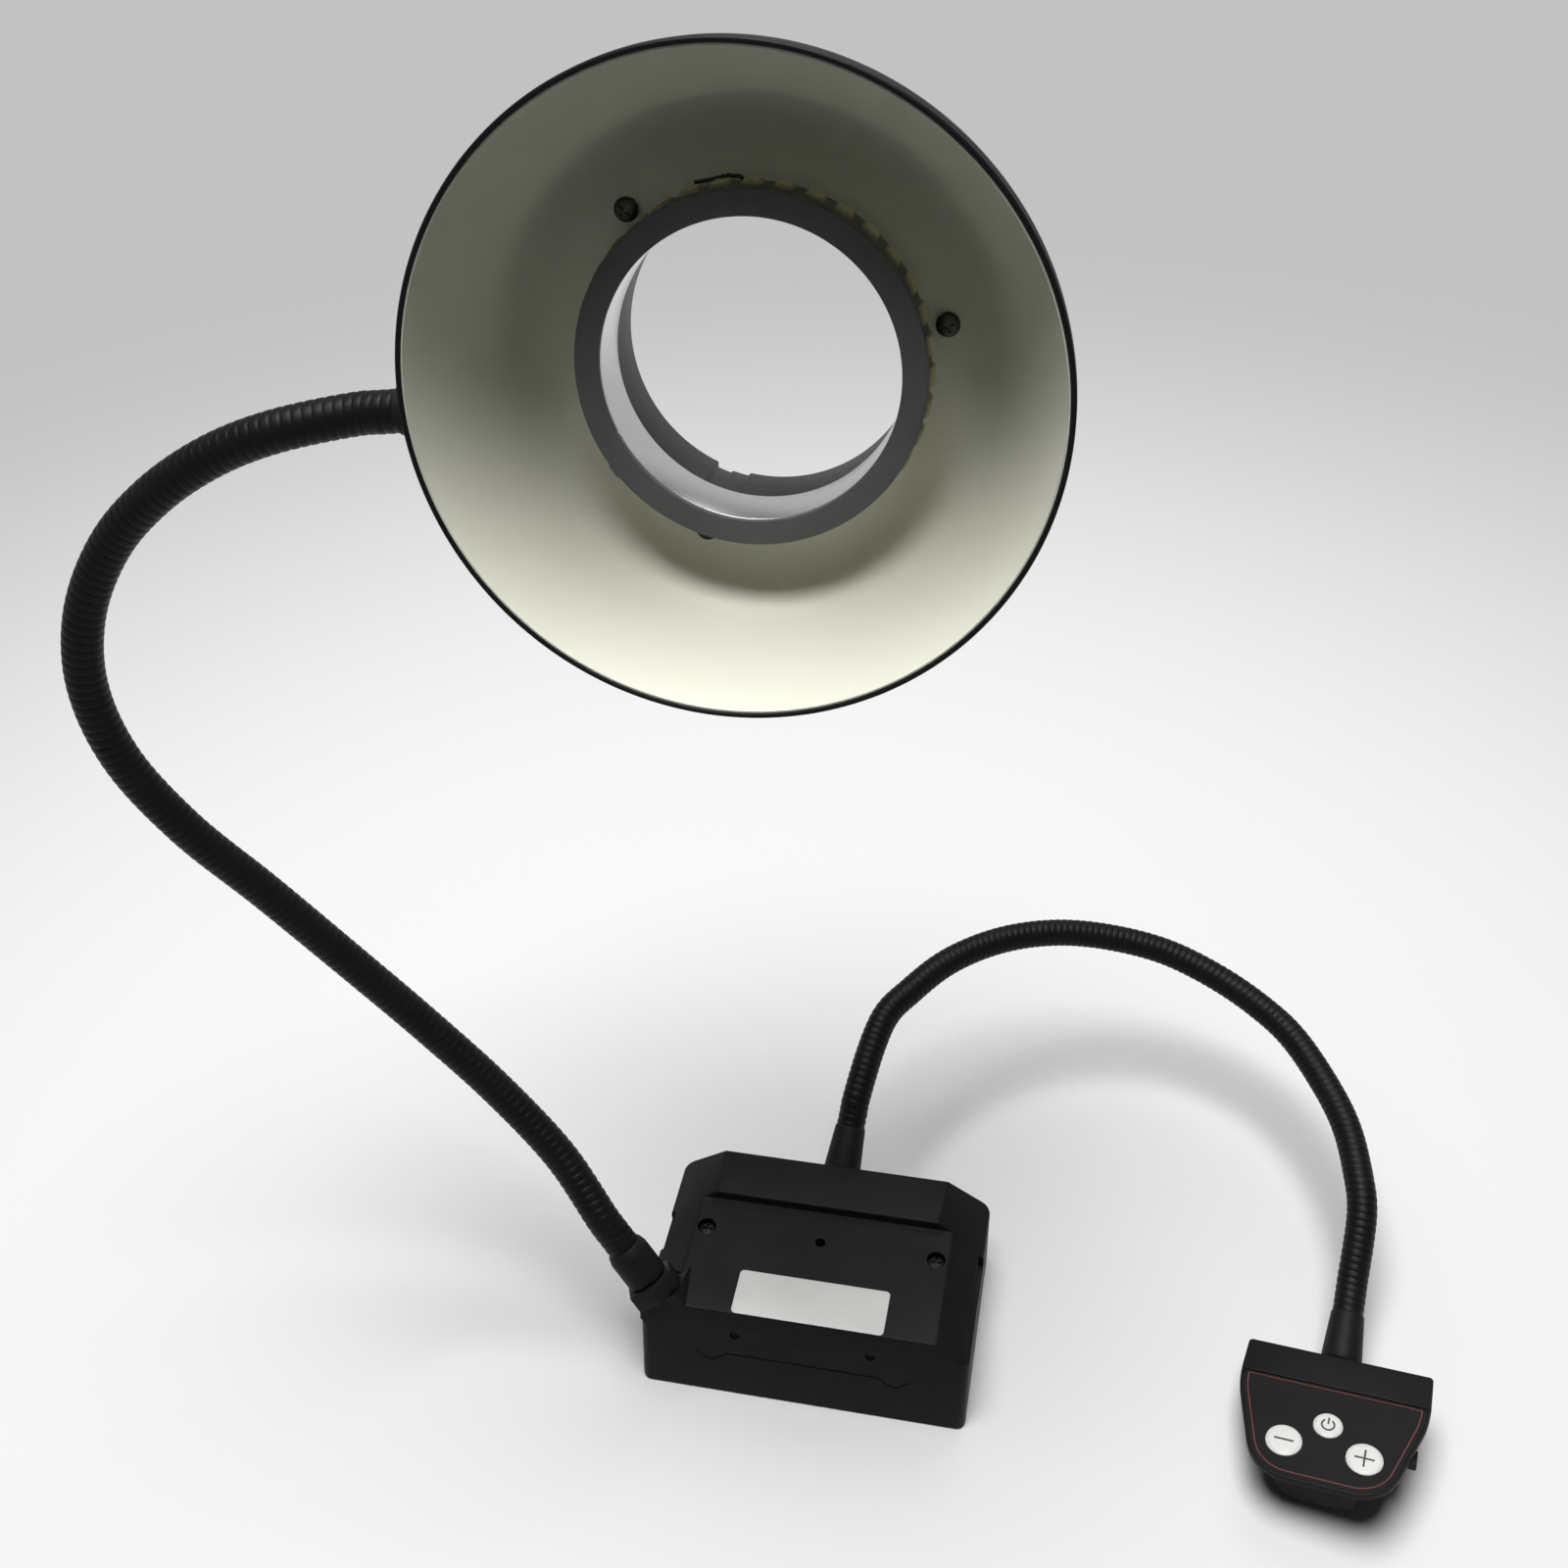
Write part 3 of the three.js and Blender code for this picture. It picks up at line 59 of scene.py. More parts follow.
# Where the hood and the keypad stand, in millimetres
HOOD = Matrix.Translation((-16, 9.3, 295.3)) @ Matrix.Rotation(math.radians(1.84), 4, "Z") \
    @ Matrix.Rotation(math.pi / 2 - math.radians(9.93), 4, "X")
POD = Matrix.Translation((147.65, -9.9, 18)) @ Matrix.Rotation(math.radians(-10.78), 4, "Z") \
    @ Matrix.Rotation(math.radians(-2.91), 4, "X") @ Matrix.Rotation(math.radians(-8.15), 4, "Y")

# Where the arms begin and end, and the way they point there
ARM_SEAT = Vector((-41.7, -20.7, 27.5))
ARM_AXIS = Vector((-0.6, 0.25, 0.75)).normalized()
LOOP_SEAT = Vector((1, 30.6, 25))
LOOP_AXIS = Vector((0.08, 0.74, 0.67)).normalized()
HOOD_BOSS = math.radians(-173.4)
HOOD_RADIAL = Vector((math.cos(HOOD_BOSS), math.sin(HOOD_BOSS), 0))
POD_SEAT = Vector((0, 13.1, -6))
POD_AXIS = Vector((0, math.cos(math.radians(25.3)), math.sin(math.radians(25.3))))
HOOD_ENTRY = Vector((0, 0, -15))
HOOD_MOUTH = 75.5

# The noise values between which a finish changes, and the depth of its bumps in millimetres
NOISE_LOW, NOISE_HIGH = 0.3, 0.7
BUMP_DEPTH = 0.1
# The strength of the backdrop, and of the sky from its foot to its top and for light
BACKDROP = 0.54
SKY_LOW, SKY_HIGH, SKY_TOP, SKY_LIGHT = 0.05, 0.5, 0.2, 0.03
# The floor's reach, its gap under the object and its fade in metres, and its two colours
FLOOR_REACH, FLOOR_GAP = 6, 0.0002
FLOOR_LIGHT, FLOOR_SEEN = (0.08, 0.08, 0.08, 1), (0.73, 0.73, 0.725, 1)
FADE_START, FADE_END = 0.25, 0.85


def aimed(point: Vector, direction: Vector) -> Matrix:
    """Gives the place of a shape made along Z.

    Args:
        point: Where the shape's own origin goes, in millimetres.
        direction: Where its Z axis points.

    Returns:
        The matrix that sets it there.
    """
    turn = Vector((0, 0, 1)).rotation_difference(direction.normalized())
    return Matrix.Translation(point) @ turn.to_matrix().to_4x4()


def add_node(nodes: bpy.types.Nodes, kind: str, **values: object) -> bpy.types.Node:
    """Adds a shader node with its settings.

    Args:
        nodes: The nodes that it joins.
        kind: Its type.
        **values: Its settings and the values of its inputs, with _ for a space.

    Returns:
        The node.
    """
    node = nodes.new(kind)
    for key, value in values.items():
        if hasattr(node, key):
            setattr(node, key, value)
        else:
            node.inputs[key.replace("_", " ")].default_value = value
    return node


class Pattern(Enum):
    """How a finish is laid over its surface."""

    GRAIN = "grain"
    TURNED = "turned"


@dataclass(frozen=True)
class Finish:
    """A procedural finish, with its sizes in millimetres."""

    name: str
    slot: str
    colour: tuple[float, float, float]
    other: tuple[float, float, float]
    metallic: float = 0.0
    roughness: tuple[float, float] = (0.42, 0.56)
    specular: float = 0.5
    patch: float = 22.0
    grain: float = 0.35
    bump: float = 0.12
    pattern: Pattern = Pattern.GRAIN

    def material(self, place: Matrix | None = None) -> bpy.types.Material:
        """Builds the node material, once for each finish.

        Args:
            place: The frame, in millimetres, whose Z is the axis of a turned surface.

        Returns:
            The material.
        """
        found = bpy.data.materials.get(f"{self.name}_finish")
        if found:
            return found
        material = bpy.data.materials.new(f"{self.name}_finish")
        material.use_nodes = True
        nodes, links = material.node_tree.nodes, material.node_tree.links
        shader = nodes["Principled BSDF"]
        shader.inputs["Metallic"].default_value = self.metallic
        shader.inputs["Specular IOR Level"].default_value = self.specular
        add = partial(add_node, nodes)
        spot = add("ShaderNodeTexCoord").outputs["Object"]
        if place is not None:
            inverse = (Matrix.Scale(MM, 4) @ place @ Matrix.Scale(1 / MM, 4)).inverted()
            mapping = add("ShaderNodeMapping")
            mapping.inputs["Location"].default_value = inverse.to_translation()
            mapping.inputs["Rotation"].default_value = inverse.to_euler()
            links.new(spot, mapping.inputs["Vector"])
            spot = mapping.outputs["Vector"]
        cloud = add("ShaderNodeTexNoise", Scale=1 / (self.patch * MM), Detail=4.0, Roughness=0.6)
        fine = add("ShaderNodeTexNoise", Scale=1 / (self.grain * MM), Detail=2.0, Roughness=0.55)
        links.new(spot, cloud.inputs["Vector"])
        detail = fine.outputs["Fac"]
        if self.pattern is Pattern.TURNED:
            split = add("ShaderNodeSeparateXYZ")
            flat = add("ShaderNodeCombineXYZ")
            length = add("ShaderNodeVectorMath", operation="LENGTH")
            groove = add("ShaderNodeCombineXYZ")
            links.new(spot, split.inputs[0])
            links.new(split.outputs["X"], flat.inputs["X"])
            links.new(split.outputs["Y"], flat.inputs["Y"])
            links.new(flat.outputs[0], length.inputs[0])
            links.new(length.outputs["Value"], groove.inputs["X"])
            links.new(split.outputs["Z"], groove.inputs["Y"])
            links.new(groove.outputs[0], fine.inputs["Vector"])
        else:
            links.new(spot, fine.inputs["Vector"])
        blend = add("ShaderNodeMix", data_type="RGBA")
        ramp = add("ShaderNodeMapRange", From_Min=NOISE_LOW, From_Max=NOISE_HIGH)
        links.new(cloud.outputs["Fac"], ramp.inputs["Value"])
        links.new(ramp.outputs["Result"], blend.inputs["Factor"])
        blend.inputs["A"].default_value = (*self.colour, 1)
        blend.inputs["B"].default_value = (*self.other, 1)
        links.new(blend.outputs["Result"], shader.inputs["Base Color"])
        rough = add("ShaderNodeMapRange", From_Min=NOISE_LOW, From_Max=NOISE_HIGH, To_Min=self.roughness[0],
                    To_Max=self.roughness[1])
        links.new(detail, rough.inputs["Value"])
        links.new(rough.outputs["Result"], shader.inputs["Roughness"])
        bump = add("ShaderNodeBump", Strength=self.bump, Distance=BUMP_DEPTH * MM)
        links.new(detail, bump.inputs["Height"])
        links.new(bump.outputs["Normal"], shader.inputs["Normal"])
        return material


BLACK_PLASTIC = Finish("black_plastic", "black_plastic", (0.0048, 0.0048, 0.005), (0.008, 0.008, 0.0082),
                       roughness=(0.42, 0.56), specular=0.12, bump=0.22)
# The keypad foot shares the hull's black plastic; its lighter grey is painted bounce light from the table
# below
FOOT_PAINTED_BOUNCE = Finish("foot_painted_bounce", "black_plastic", (0.03, 0.03, 0.0285), (0.04, 0.04, 0.038),
              roughness=(0.5, 0.62), specular=0.2, bump=0.2)
FERRULE = Finish("ferrule_black", "ferrule_black", (0.005, 0.005, 0.0055), (0.009, 0.009, 0.0095),
                 roughness=(0.5, 0.62), specular=0.15, bump=0.06)
ARM_BLACK = Finish("arm_black", "arm_black", (0.0034, 0.0034, 0.0031), (0.006, 0.006, 0.0056), specular=0.13,
                   roughness=(0.4, 0.52), patch=9.0, bump=0.05)
HOOD_BLACK = Finish("hood_black", "hood_black", (0.005, 0.005, 0.0052), (0.009, 0.009, 0.009), specular=0.12,
                    roughness=(0.4, 0.52), bump=0.08)
REFLECTOR = Finish("reflector_warm", "reflector_warm", (0.86, 0.86, 0.74), (0.9, 0.9, 0.78), metallic=0.05,
                   roughness=(0.42, 0.5), specular=0.35, patch=40.0, grain=0.3, bump=0.05,
                   pattern=Pattern.TURNED)
FLANGE = Finish("flange_grey", "flange_grey", (0.13, 0.13, 0.132), (0.155, 0.155, 0.158),
                roughness=(0.45, 0.6), specular=0.35, bump=0.08)
SILVER = Finish("core_silver", "core_silver", (0.7, 0.7, 0.69), (0.76, 0.76, 0.75), metallic=1.0,
                roughness=(0.16, 0.28), grain=0.2, bump=0.05, pattern=Pattern.TURNED)
COLLAR = Finish("collar_dark", "hood_black", (0.05, 0.051, 0.053), (0.065, 0.066, 0.068), metallic=0.3,
                roughness=(0.4, 0.5), pattern=Pattern.TURNED)
SCREW = Finish("screw_dark", "screw_dark", (0.035, 0.032, 0.024), (0.06, 0.055, 0.04), metallic=0.7,
               roughness=(0.35, 0.5), patch=2.0)
BOX_SCREW = Finish("screw_black", "screw_dark", (0.006, 0.006, 0.006), (0.012, 0.012, 0.011), specular=0.2,
                   roughness=(0.4, 0.55), patch=2.0)
CHIP = Finish("led_chip", "led_yellow", (0.42, 0.4, 0.3), (0.5, 0.48, 0.36), roughness=(0.35, 0.5))
STRIP = Finish("led_board", "led_yellow", (0.14, 0.14, 0.11), (0.2, 0.198, 0.15), roughness=(0.45, 0.6))
PHOSPHOR = Finish("led_phosphor", "led_yellow", (0.62, 0.56, 0.28), (0.7, 0.66, 0.42), roughness=(0.35, 0.5),
                  patch=3.0)
LABEL = Finish("label_white", "label_white", (0.55, 0.55, 0.535), (0.6, 0.6, 0.585), roughness=(0.35, 0.45),
               bump=0.04)
PANEL = Finish("panel_dark", "panel_dark", (0.0042, 0.0042, 0.0043), (0.0066, 0.0066, 0.0066),
               roughness=(0.4, 0.5), specular=0.12, grain=0.25, bump=0.15)
BUTTON = Finish("button_white", "button_white", (0.6, 0.595, 0.565), (0.65, 0.645, 0.615),
                roughness=(0.35, 0.45), bump=0.04)
RED_LINE = Finish("panel_red", "panel_dark", (0.1, 0.006, 0.009), (0.14, 0.009, 0.012), roughness=(0.4, 0.5))
SYMBOL = Finish("symbol_dark", "panel_dark", (0.02, 0.02, 0.025), (0.03, 0.03, 0.035), roughness=(0.4, 0.5))
STEEL = Finish("plate_steel", "plate_steel", (0.5, 0.5, 0.51), (0.6, 0.6, 0.61), metallic=1.0,
               roughness=(0.3, 0.45))
BOARD = Finish("board_green", "board_green", (0.015, 0.09, 0.045), (0.02, 0.13, 0.06), roughness=(0.35, 0.5),
               patch=4.0)
LEAD = Finish("lead_black", "black_plastic", (0.008, 0.008, 0.008), (0.014, 0.014, 0.014),
              roughness=(0.35, 0.45))


def soften(points: Outline, radius: float, closed: bool = True, steps: int = 3) -> Outline:
    """Rounds every corner of an outline.

    Args:
        points: The corners in order.
        radius: The most that a corner is rounded by.
        closed: Whether the last point joins the first.
        steps: The stretches of each rounding.

    Returns:
        The rounded outline.
    """
    return rounded(points, [radius] * len(points), closed, steps)


def rounded(points: Outline, radii: Sequence[float], closed: bool = True, steps: int = 8) -> Outline:
    """Rounds the corners of an outline, each by its own radius.

    Args:
        points: The corners in order.
        radii: One radius for each corner, with zero for a sharp one.
        closed: Whether the last point joins the first.
        steps: The stretches of each rounding.

    Returns:
        The rounded outline.
    """
    out: Outline = []
    count = len(points)
    for i, (point, radius) in enumerate(zip(points, radii)):
        if radius <= 0 or (not closed and i in (0, count - 1)):
            out.append(point)
            continue
        at = Vector(point)
        back = Vector(points[i - 1]) - at
        ahead = Vector(points[(i + 1) % count]) - at
        half = back.angle(ahead) / 2
        if half > math.radians(89.5):
            out.append(point)
            continue
        reach = min(radius / math.tan(half), 0.49 * back.length, 0.49 * ahead.length)
        true_radius = reach * math.tan(half)
        middle = at + (back.normalized() + ahead.normalized()).normalized() * true_radius / math.sin(half)
        start = at + back.normalized() * reach - middle
        stop = at + ahead.normalized() * reach - middle
        turn = math.atan2(start.x * stop.y - start.y * stop.x, start.dot(stop))
        for k in range(steps + 1):
            angle = turn * k / steps
            x = start.x * math.cos(angle) - start.y * math.sin(angle)
            y = start.x * math.sin(angle) + start.y * math.cos(angle)
            out.append((middle.x + x, middle.y + y))
    return out


def inset(points: Outline, distance: float) -> Outline:
    """Moves an anticlockwise outline inwards.

    Args:
        points: The corners in order.
        distance: How far each side moves.

    Returns:
        The moved corners.
    """
    out: Outline = []
    count = len(points)
    for i, point in enumerate(points):
        into = (Vector(point) - Vector(points[i - 1])).normalized()
        ahead = (Vector(points[(i + 1) % count]) - Vector(point)).normalized()
        move = Vector((-into.y - ahead.y, into.x + ahead.x)) * distance / (1 + into.dot(ahead))
        out.append((point[0] + move.x, point[1] + move.y))
    return out


def lathe(profile: Outline, sides: int = 96) -> Mesh:
    """Spins a profile of radius and height about Z.

    Args:
        profile: The points, closed unless it begins and ends on the axis.
        sides: The steps round the circle.

    Returns:
        The spun mesh.
    """
    bm = bmesh.new()
    verts = [bm.verts.new((radius, 0, height)) for radius, height in profile]
    closed = all(radius > 1e-6 for radius, _ in profile)
    pairs = list(zip(verts, verts[1:])) + ([(verts[-1], verts[0])] if closed else [])
    edges = [bm.edges.new(pair) for pair in pairs]
    bmesh.ops.spin(bm, geom=verts + edges, cent=(0, 0, 0), axis=(0, 0, 1), dvec=(0, 0, 0),
                   angle=2 * math.pi, steps=sides, use_merge=True, use_duplicate=False)
    return tidy(bm)


def tidy(bm: Mesh, distance: float = 1e-4) -> Mesh:
    """Merges doubled points and turns the faces outwards.

    Args:
        bm: The mesh, in millimetres.
        distance: The reach of the merge.

    Returns:
        The same mesh.
    """
    bmesh.ops.remove_doubles(bm, verts=bm.verts, dist=distance)
    bmesh.ops.recalc_face_normals(bm, faces=bm.faces)
    return bm


def slab(outline: Outline, low: float, high: float, soft: float = 0.0, segments: int = 2) -> Mesh:
    """Raises an outline to a plate.

    Args:
        outline: The outline in order.
        low: The height of the underside.
        high: The height of the top.
        soft: The width of the softened edges.
        segments: The steps of that softening.

    Returns:
        The plate's mesh.
    """
    bm = bmesh.new()
    face = bm.faces.new([bm.verts.new((x, y, low)) for x, y in outline])
    raised = bmesh.ops.extrude_face_region(bm, geom=[face])
    tops = [part for part in raised["geom"] if isinstance(part, bmesh.types.BMVert)]
    bmesh.ops.translate(bm, verts=tops, vec=(0, 0, high - low))
    bmesh.ops.recalc_face_normals(bm, faces=bm.faces)
    if soft:
        bevel_sharp(bm, soft, segments)
    return bm


def bevel(bm: Mesh, edges: Sequence[bmesh.types.BMEdge], width: float, segments: int) -> None:
    """Softens some edges.

    Args:
        bm: The mesh.
        edges: The edges.
        width: How wide each softened edge is.
        segments: Its steps.
    """
    bmesh.ops.bevel(bm, geom=edges, offset=width, offset_type="OFFSET", affect="EDGES", segments=segments,
                    profile=0.5, material=-1, clamp_overlap=True)


def bevel_sharp(bm: Mesh, width: float, segments: int = 2, angle: float = 40.0) -> None:
    """Softens the edges that turn by more than an angle.

    Args:
        bm: The mesh.
        width: How wide each softened edge is.
        segments: Its steps.
        angle: The least turn in degrees.
    """
    sharp = [edge for edge in bm.edges if edge.is_manifold and edge.calc_face_angle(0) > math.radians(angle)]
    bevel(bm, sharp, width, segments)


def block(low: Sequence[float], high: Sequence[float], soft: float = 0.0) -> Mesh:
    """Makes a box between two corners.

    Args:
        low: Its lowest corner.
        high: Its highest corner.
        soft: The width of its softened edges.

    Returns:
        The box's mesh.
    """
    outline = [(low[0], low[1]), (high[0], low[1]), (high[0], high[1]), (low[0], high[1])]
    return slab(outline, low[2], high[2], soft)


def rod(radius: float, low: float, high: float, sides: int = 48) -> Mesh:
    """Makes a plain cylinder along Z, for cutting or joining.

    Args:
        radius: Its radius.
        low: The height of its underside.
        high: The height of its top.
        sides: The steps round it.

    Returns:
        The cylinder's mesh.
    """
    return slab([(radius * math.cos(2 * math.pi * k / sides), radius * math.sin(2 * math.pi * k / sides))
                 for k in range(sides)], low, high)


def loft(rings: Sequence[Sequence[Vector]], capped: bool = True) -> Mesh:
    """Skins rings of equal count.

    Args:
        rings: The rings in order.
        capped: Whether the first and last ring are closed by a face.

    Returns:
        The skin's mesh.
    """
    bm = bmesh.new()
    rows = [[bm.verts.new(point) for point in ring] for ring in rings]
    count = len(rows[0])
    for below, above in zip(rows, rows[1:]):
        for k in range(count):
            bm.faces.new((below[k], below[(k + 1) % count], above[(k + 1) % count], above[k]))
    if capped:
        bm.faces.new(rows[0])
        bm.faces.new(rows[-1])
    bmesh.ops.recalc_face_normals(bm, faces=bm.faces)
    return bm


def moved(bm: Mesh, place: Matrix) -> Mesh:
    """Sets a mesh at a place.

    Args:
        bm: The mesh.
        place: The matrix to apply.

    Returns:
        The same mesh.
    """
    bm.transform(place)
    return bm


def merged(first: Mesh, *others: Mesh) -> Mesh:
    """Puts several meshes into the first one, each as its own shell.

    Args:
        first: The mesh that takes the others in.
        *others: The meshes that go into it.

    Returns:
        The first mesh.
    """
    for other in others:
        data = bpy.data.meshes.new("shell")
        other.to_mesh(data)
        other.free()
        first.from_mesh(data)
        bpy.data.meshes.remove(data)
    return first


def sliced(bm: Mesh, spot: Vector, normal: Vector) -> None:
    """Cuts a mesh by a plane and closes it there.

    Args:
        bm: The mesh.
        spot: A point of the plane.
        normal: The side that goes away.
    """
    cut = bmesh.ops.bisect_plane(bm, geom=[*bm.verts, *bm.edges, *bm.faces], plane_co=spot, plane_no=normal,
                                 clear_outer=True)
    rim = [part for part in cut["geom_cut"] if isinstance(part, bmesh.types.BMEdge)]
    if rim:
        bmesh.ops.contextual_create(bm, geom=rim)


def push_out(vert: bmesh.types.BMVert, step: float) -> None:
    """Moves a point away from the Z axis.

    Args:
        vert: The point.
        step: How far it moves.
    """
    vert.co.xy *= 1 + step / vert.co.xy.length


class Cut(Enum):
    """What a boolean does."""

    JOIN = "UNION"
    TAKE = "DIFFERENCE"


def carved(body: Mesh, tools: Iterable[tuple[Cut, Mesh]]) -> Mesh:
    """Joins tools to a mesh or takes them from it.

    Args:
        body: The mesh to work on.
        tools: Each tool with what it does, in order.

    Returns:
        A new mesh.
    """
    def as_object(bm: Mesh, name: str) -> bpy.types.Object:
        data = bpy.data.meshes.new(name)
        bm.to_mesh(data)
        bm.free()
        obj = bpy.data.objects.new(name, data)
        bpy.context.scene.collection.objects.link(obj)
        return obj

    base = as_object(body, "carve_base")
    helpers = []
    for i, (kind, tool) in enumerate(tools):
        helper = as_object(tool, f"carve_tool_{i}")
        helpers.append(helper)
        step = base.modifiers.new(f"step_{i}", "BOOLEAN")
        step.operation = kind.value
        step.solver = "EXACT"
        step.object = helper
    bpy.context.view_layer.update()
    result = bmesh.new()
    evaluated = base.evaluated_get(bpy.context.evaluated_depsgraph_get())
    data = bpy.data.meshes.new_from_object(evaluated)
    result.from_mesh(data)
    bpy.data.meshes.remove(data)
    for obj in [base, *helpers]:
        mesh = obj.data
        bpy.data.objects.remove(obj)
        bpy.data.meshes.remove(mesh)
    return tidy(result, 2e-3)


def piece(name: str, bm: Mesh, finish: Finish, place: Matrix | None = None, body: str | None = None,
          replaces: Sequence[str] = (), angle: float = 32.0, axis: Matrix | None = None) -> bpy.types.Object:
    """Turns a mesh in millimetres into a finished object of the scene.

    Args:
        name: The object's name.
        bm: Its mesh, which is used up.
        finish: Its finish.
        place: Where it goes, in millimetres, or nothing if it is there already.
        body: The body it rides on.
        replaces: The CAD nodes it stands for.
        angle: The turn above which an edge stays sharp.
        axis: The frame of a turned finish.

    Returns:
        The object.
    """
    if not bm.faces:
        raise ValueError(f"{name} has no faces")
    bm.transform(Matrix.Scale(MM, 4) @ (place or Matrix.Identity(4)))
    for face in bm.faces:
        face.smooth = True
    for edge in bm.edges:
        edge.smooth = edge.calc_face_angle(0) < math.radians(angle)
    mesh = bpy.data.meshes.new(name)
    bm.to_mesh(mesh)
    bm.free()
    mesh.materials.append(finish.material(axis))
    obj = bpy.data.objects.new(name, mesh)
    bpy.context.scene.collection.objects.link(obj)
    if body:
        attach(obj, body)
    if replaces:
        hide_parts(*replaces)
    log.info("%s: %d faces on %s", name, len(mesh.polygons), body or "a bend")
    return obj


def paint(node: str, finish: Finish) -> None:
    """Gives a CAD node a finish.

    Args:
        node: The node's name.
        finish: The finish.
    """
    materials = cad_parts[node].data.materials
    materials.clear()
    materials.append(finish.material())


@dataclass(frozen=True)
class Screw:
    """A domed screw with a cross recess, its seat at zero."""

    head: float
    height: float
    shank: float
    length: float

    def mesh(self) -> Mesh:
        """Makes the screw along Z.

        Returns:
            Its mesh.
        """
        dome = [(self.head * math.sin(a), self.height * (0.45 + 0.55 * math.cos(a)))
                for a in [math.pi / 2 * k / 6 for k in range(1, 7)]]
        profile = [(0.0, -self.length), (self.shank, -self.length), (self.shank, 0.0), (self.head, 0.0)]
        body = lathe([*profile, *reversed(dome), (0.0, self.height)], 40)
        reach, half = 0.62 * self.head, 0.14 * self.head
        low, top = 0.45 * self.height, self.height + 1
        bars = [block((-x, -y, low), (x, y, top)) for x, y in ((reach, half), (half, reach))]
        return carved(body, [(Cut.TAKE, bar) for bar in bars])


TOP_SCREW = Screw(head=2.45, height=1.9, shank=1.5, length=12)
FRONT_SCREW = Screw(head=1.25, height=0.9, shank=0.8, length=5)
BOWL_SCREW = Screw(head=2.65, height=1.7, shank=1.5, length=5)
KEYPAD_SCREW = Screw(head=2.1, height=1.2, shank=1, length=5)


@dataclass
class ControlBox:
    """The wedge-shaped box with its fittings."""

    width: float = 95.0
    depth: float = 61.2
    front_top: float = -24.4
    front_lean: float = 6.2
    lip: float = 14.1
    recess: float = 30.4
    lip_height: float = 33.6
    back_height: float = 32.8
    wall: float = 2.4
    corner: float = 2.6
    edge: float = 0.55
    slope: tuple[float, float] = (9.9, 14.3)
    slope_foot: float = 23.7
    hole_x: float = 34.2
    hole_y: float = 3.7
    front_hole_x: float = 19.6
    front_hole_height: float = 22.1
    notch: tuple[float, float, float, float] = (-2.35, 11.35, 20.45, 26.95)
    notch_depth: float = 1.6
    loop_boss: float = 5.9
    loop_boss_top: float = 2.6
    arm_pad_top: float = 1.4
    inlet_x: float = 30.0
    inlet_height: float = 14.0
    seam_height: float = 14.9
    seam_half: float = 31.4
    seam_dip: float = 2.9
    seam_dip_x: float = 26.6
    seam_dip_half: float = 5.6
    seam_width: float = 0.44
    above: float = 36.0

    @property
    def front_normal(self) -> Vector:
        """The direction that the leaning front faces."""
        return Vector((0, -self.recess, self.front_lean)).normalized()

    def inlet(self, y: float) -> Vector:
        """Gives a point on the power inlet's axis.

        Args:
            y: Its place from front to back.

        Returns:
            The point.
        """
        return Vector((self.inlet_x, y, self.inlet_height))

    def on_front(self, x: float, height: float) -> Vector:
        """Gives a point on the leaning front.

        Args:
            x: Its place along the front.
            height: Its height.

        Returns:
            The point.
        """
        return Vector((x, -self.depth / 2 + self.front_lean * height / self.recess, height))

    def wedge(self, margin: float, low: float) -> Mesh:
        """Makes the box's plain shape.

        Args:
            margin: How far its faces lie inside the outer ones.
            low: The height of its underside.

        Returns:
            The wedge's mesh.
        """
        half, side = self.depth / 2, self.width / 2
        view = [(-half, 0.0), (half, 0.0), (half, self.back_height), (self.lip, self.lip_height),
                (self.lip, self.recess), (self.front_top, self.recess)]
        view = inset(view, margin) if margin else view
        lean = (view[0][0] - view[-1][0]) / (view[0][1] - view[-1][1])
        view[0] = (view[0][0] + lean * (low - view[0][1]), low)
        view[1] = (view[1][0], low)
        turn = Matrix.Rotation(math.pi / 2, 4, "Z") @ Matrix.Rotation(math.pi / 2, 4, "X")
        bm = moved(slab(view, margin - side, side - margin), turn)
        for sign in (-1, 1):
            normal = Vector((sign * self.slope[0], 0, self.slope[1])).normalized()
            sliced(bm, Vector((sign * side, 0, self.slope_foot)) - normal * margin, normal)
        return tidy(bm)

    def shell(self) -> Mesh:
        """Makes the housing with its pad, boss, holes and seam.

        Returns:
            The housing's mesh.
        """
        outer = self.wedge(0, 0)
        upright = [edge for edge in outer.edges
                   if abs(edge.verts[0].co.x) > 40 and abs(edge.verts[0].co.x - edge.verts[1].co.x) < 1e-3
                   and abs(edge.verts[0].co.z - edge.verts[1].co.z) > 12 and edge.calc_face_angle(0) > 1]
        bevel(outer, upright, self.corner, 5)
        bevel_sharp(outer, self.edge, 3, 24)
        hollow = self.wedge(self.wall, -1)
        boss = moved(rod(self.loop_boss, -6, self.loop_boss_top, 64), aimed(LOOP_SEAT, LOOP_AXIS))
        tools = [(Cut.JOIN, self.pad()), (Cut.TAKE, hollow), (Cut.JOIN, boss),
                 *[(Cut.TAKE, tool) for tool in self.holes()]]
        return carved(outer, tools)

    def pad(self) -> Mesh:
        """Makes the long arm's raised seat.

        Returns:
            The seat's mesh.
        """
        pad = moved(block((-7.6, -9, -6), (7.6, 9, self.arm_pad_top), 0.5), aimed(ARM_SEAT, ARM_AXIS))
        side, half = self.width / 2, self.depth / 2
        planes = [(Vector((-side + 0.05, 0, 0)), Vector((-1, 0, 0))),
                  (self.on_front(0, 0) + Vector((0, 0.05, 0)), self.front_normal),
                  (Vector((0, half - 0.05, 0)), Vector((0, 1, 0)))]
        for spot, normal in planes:
            sliced(pad, spot, normal)
        return tidy(pad)

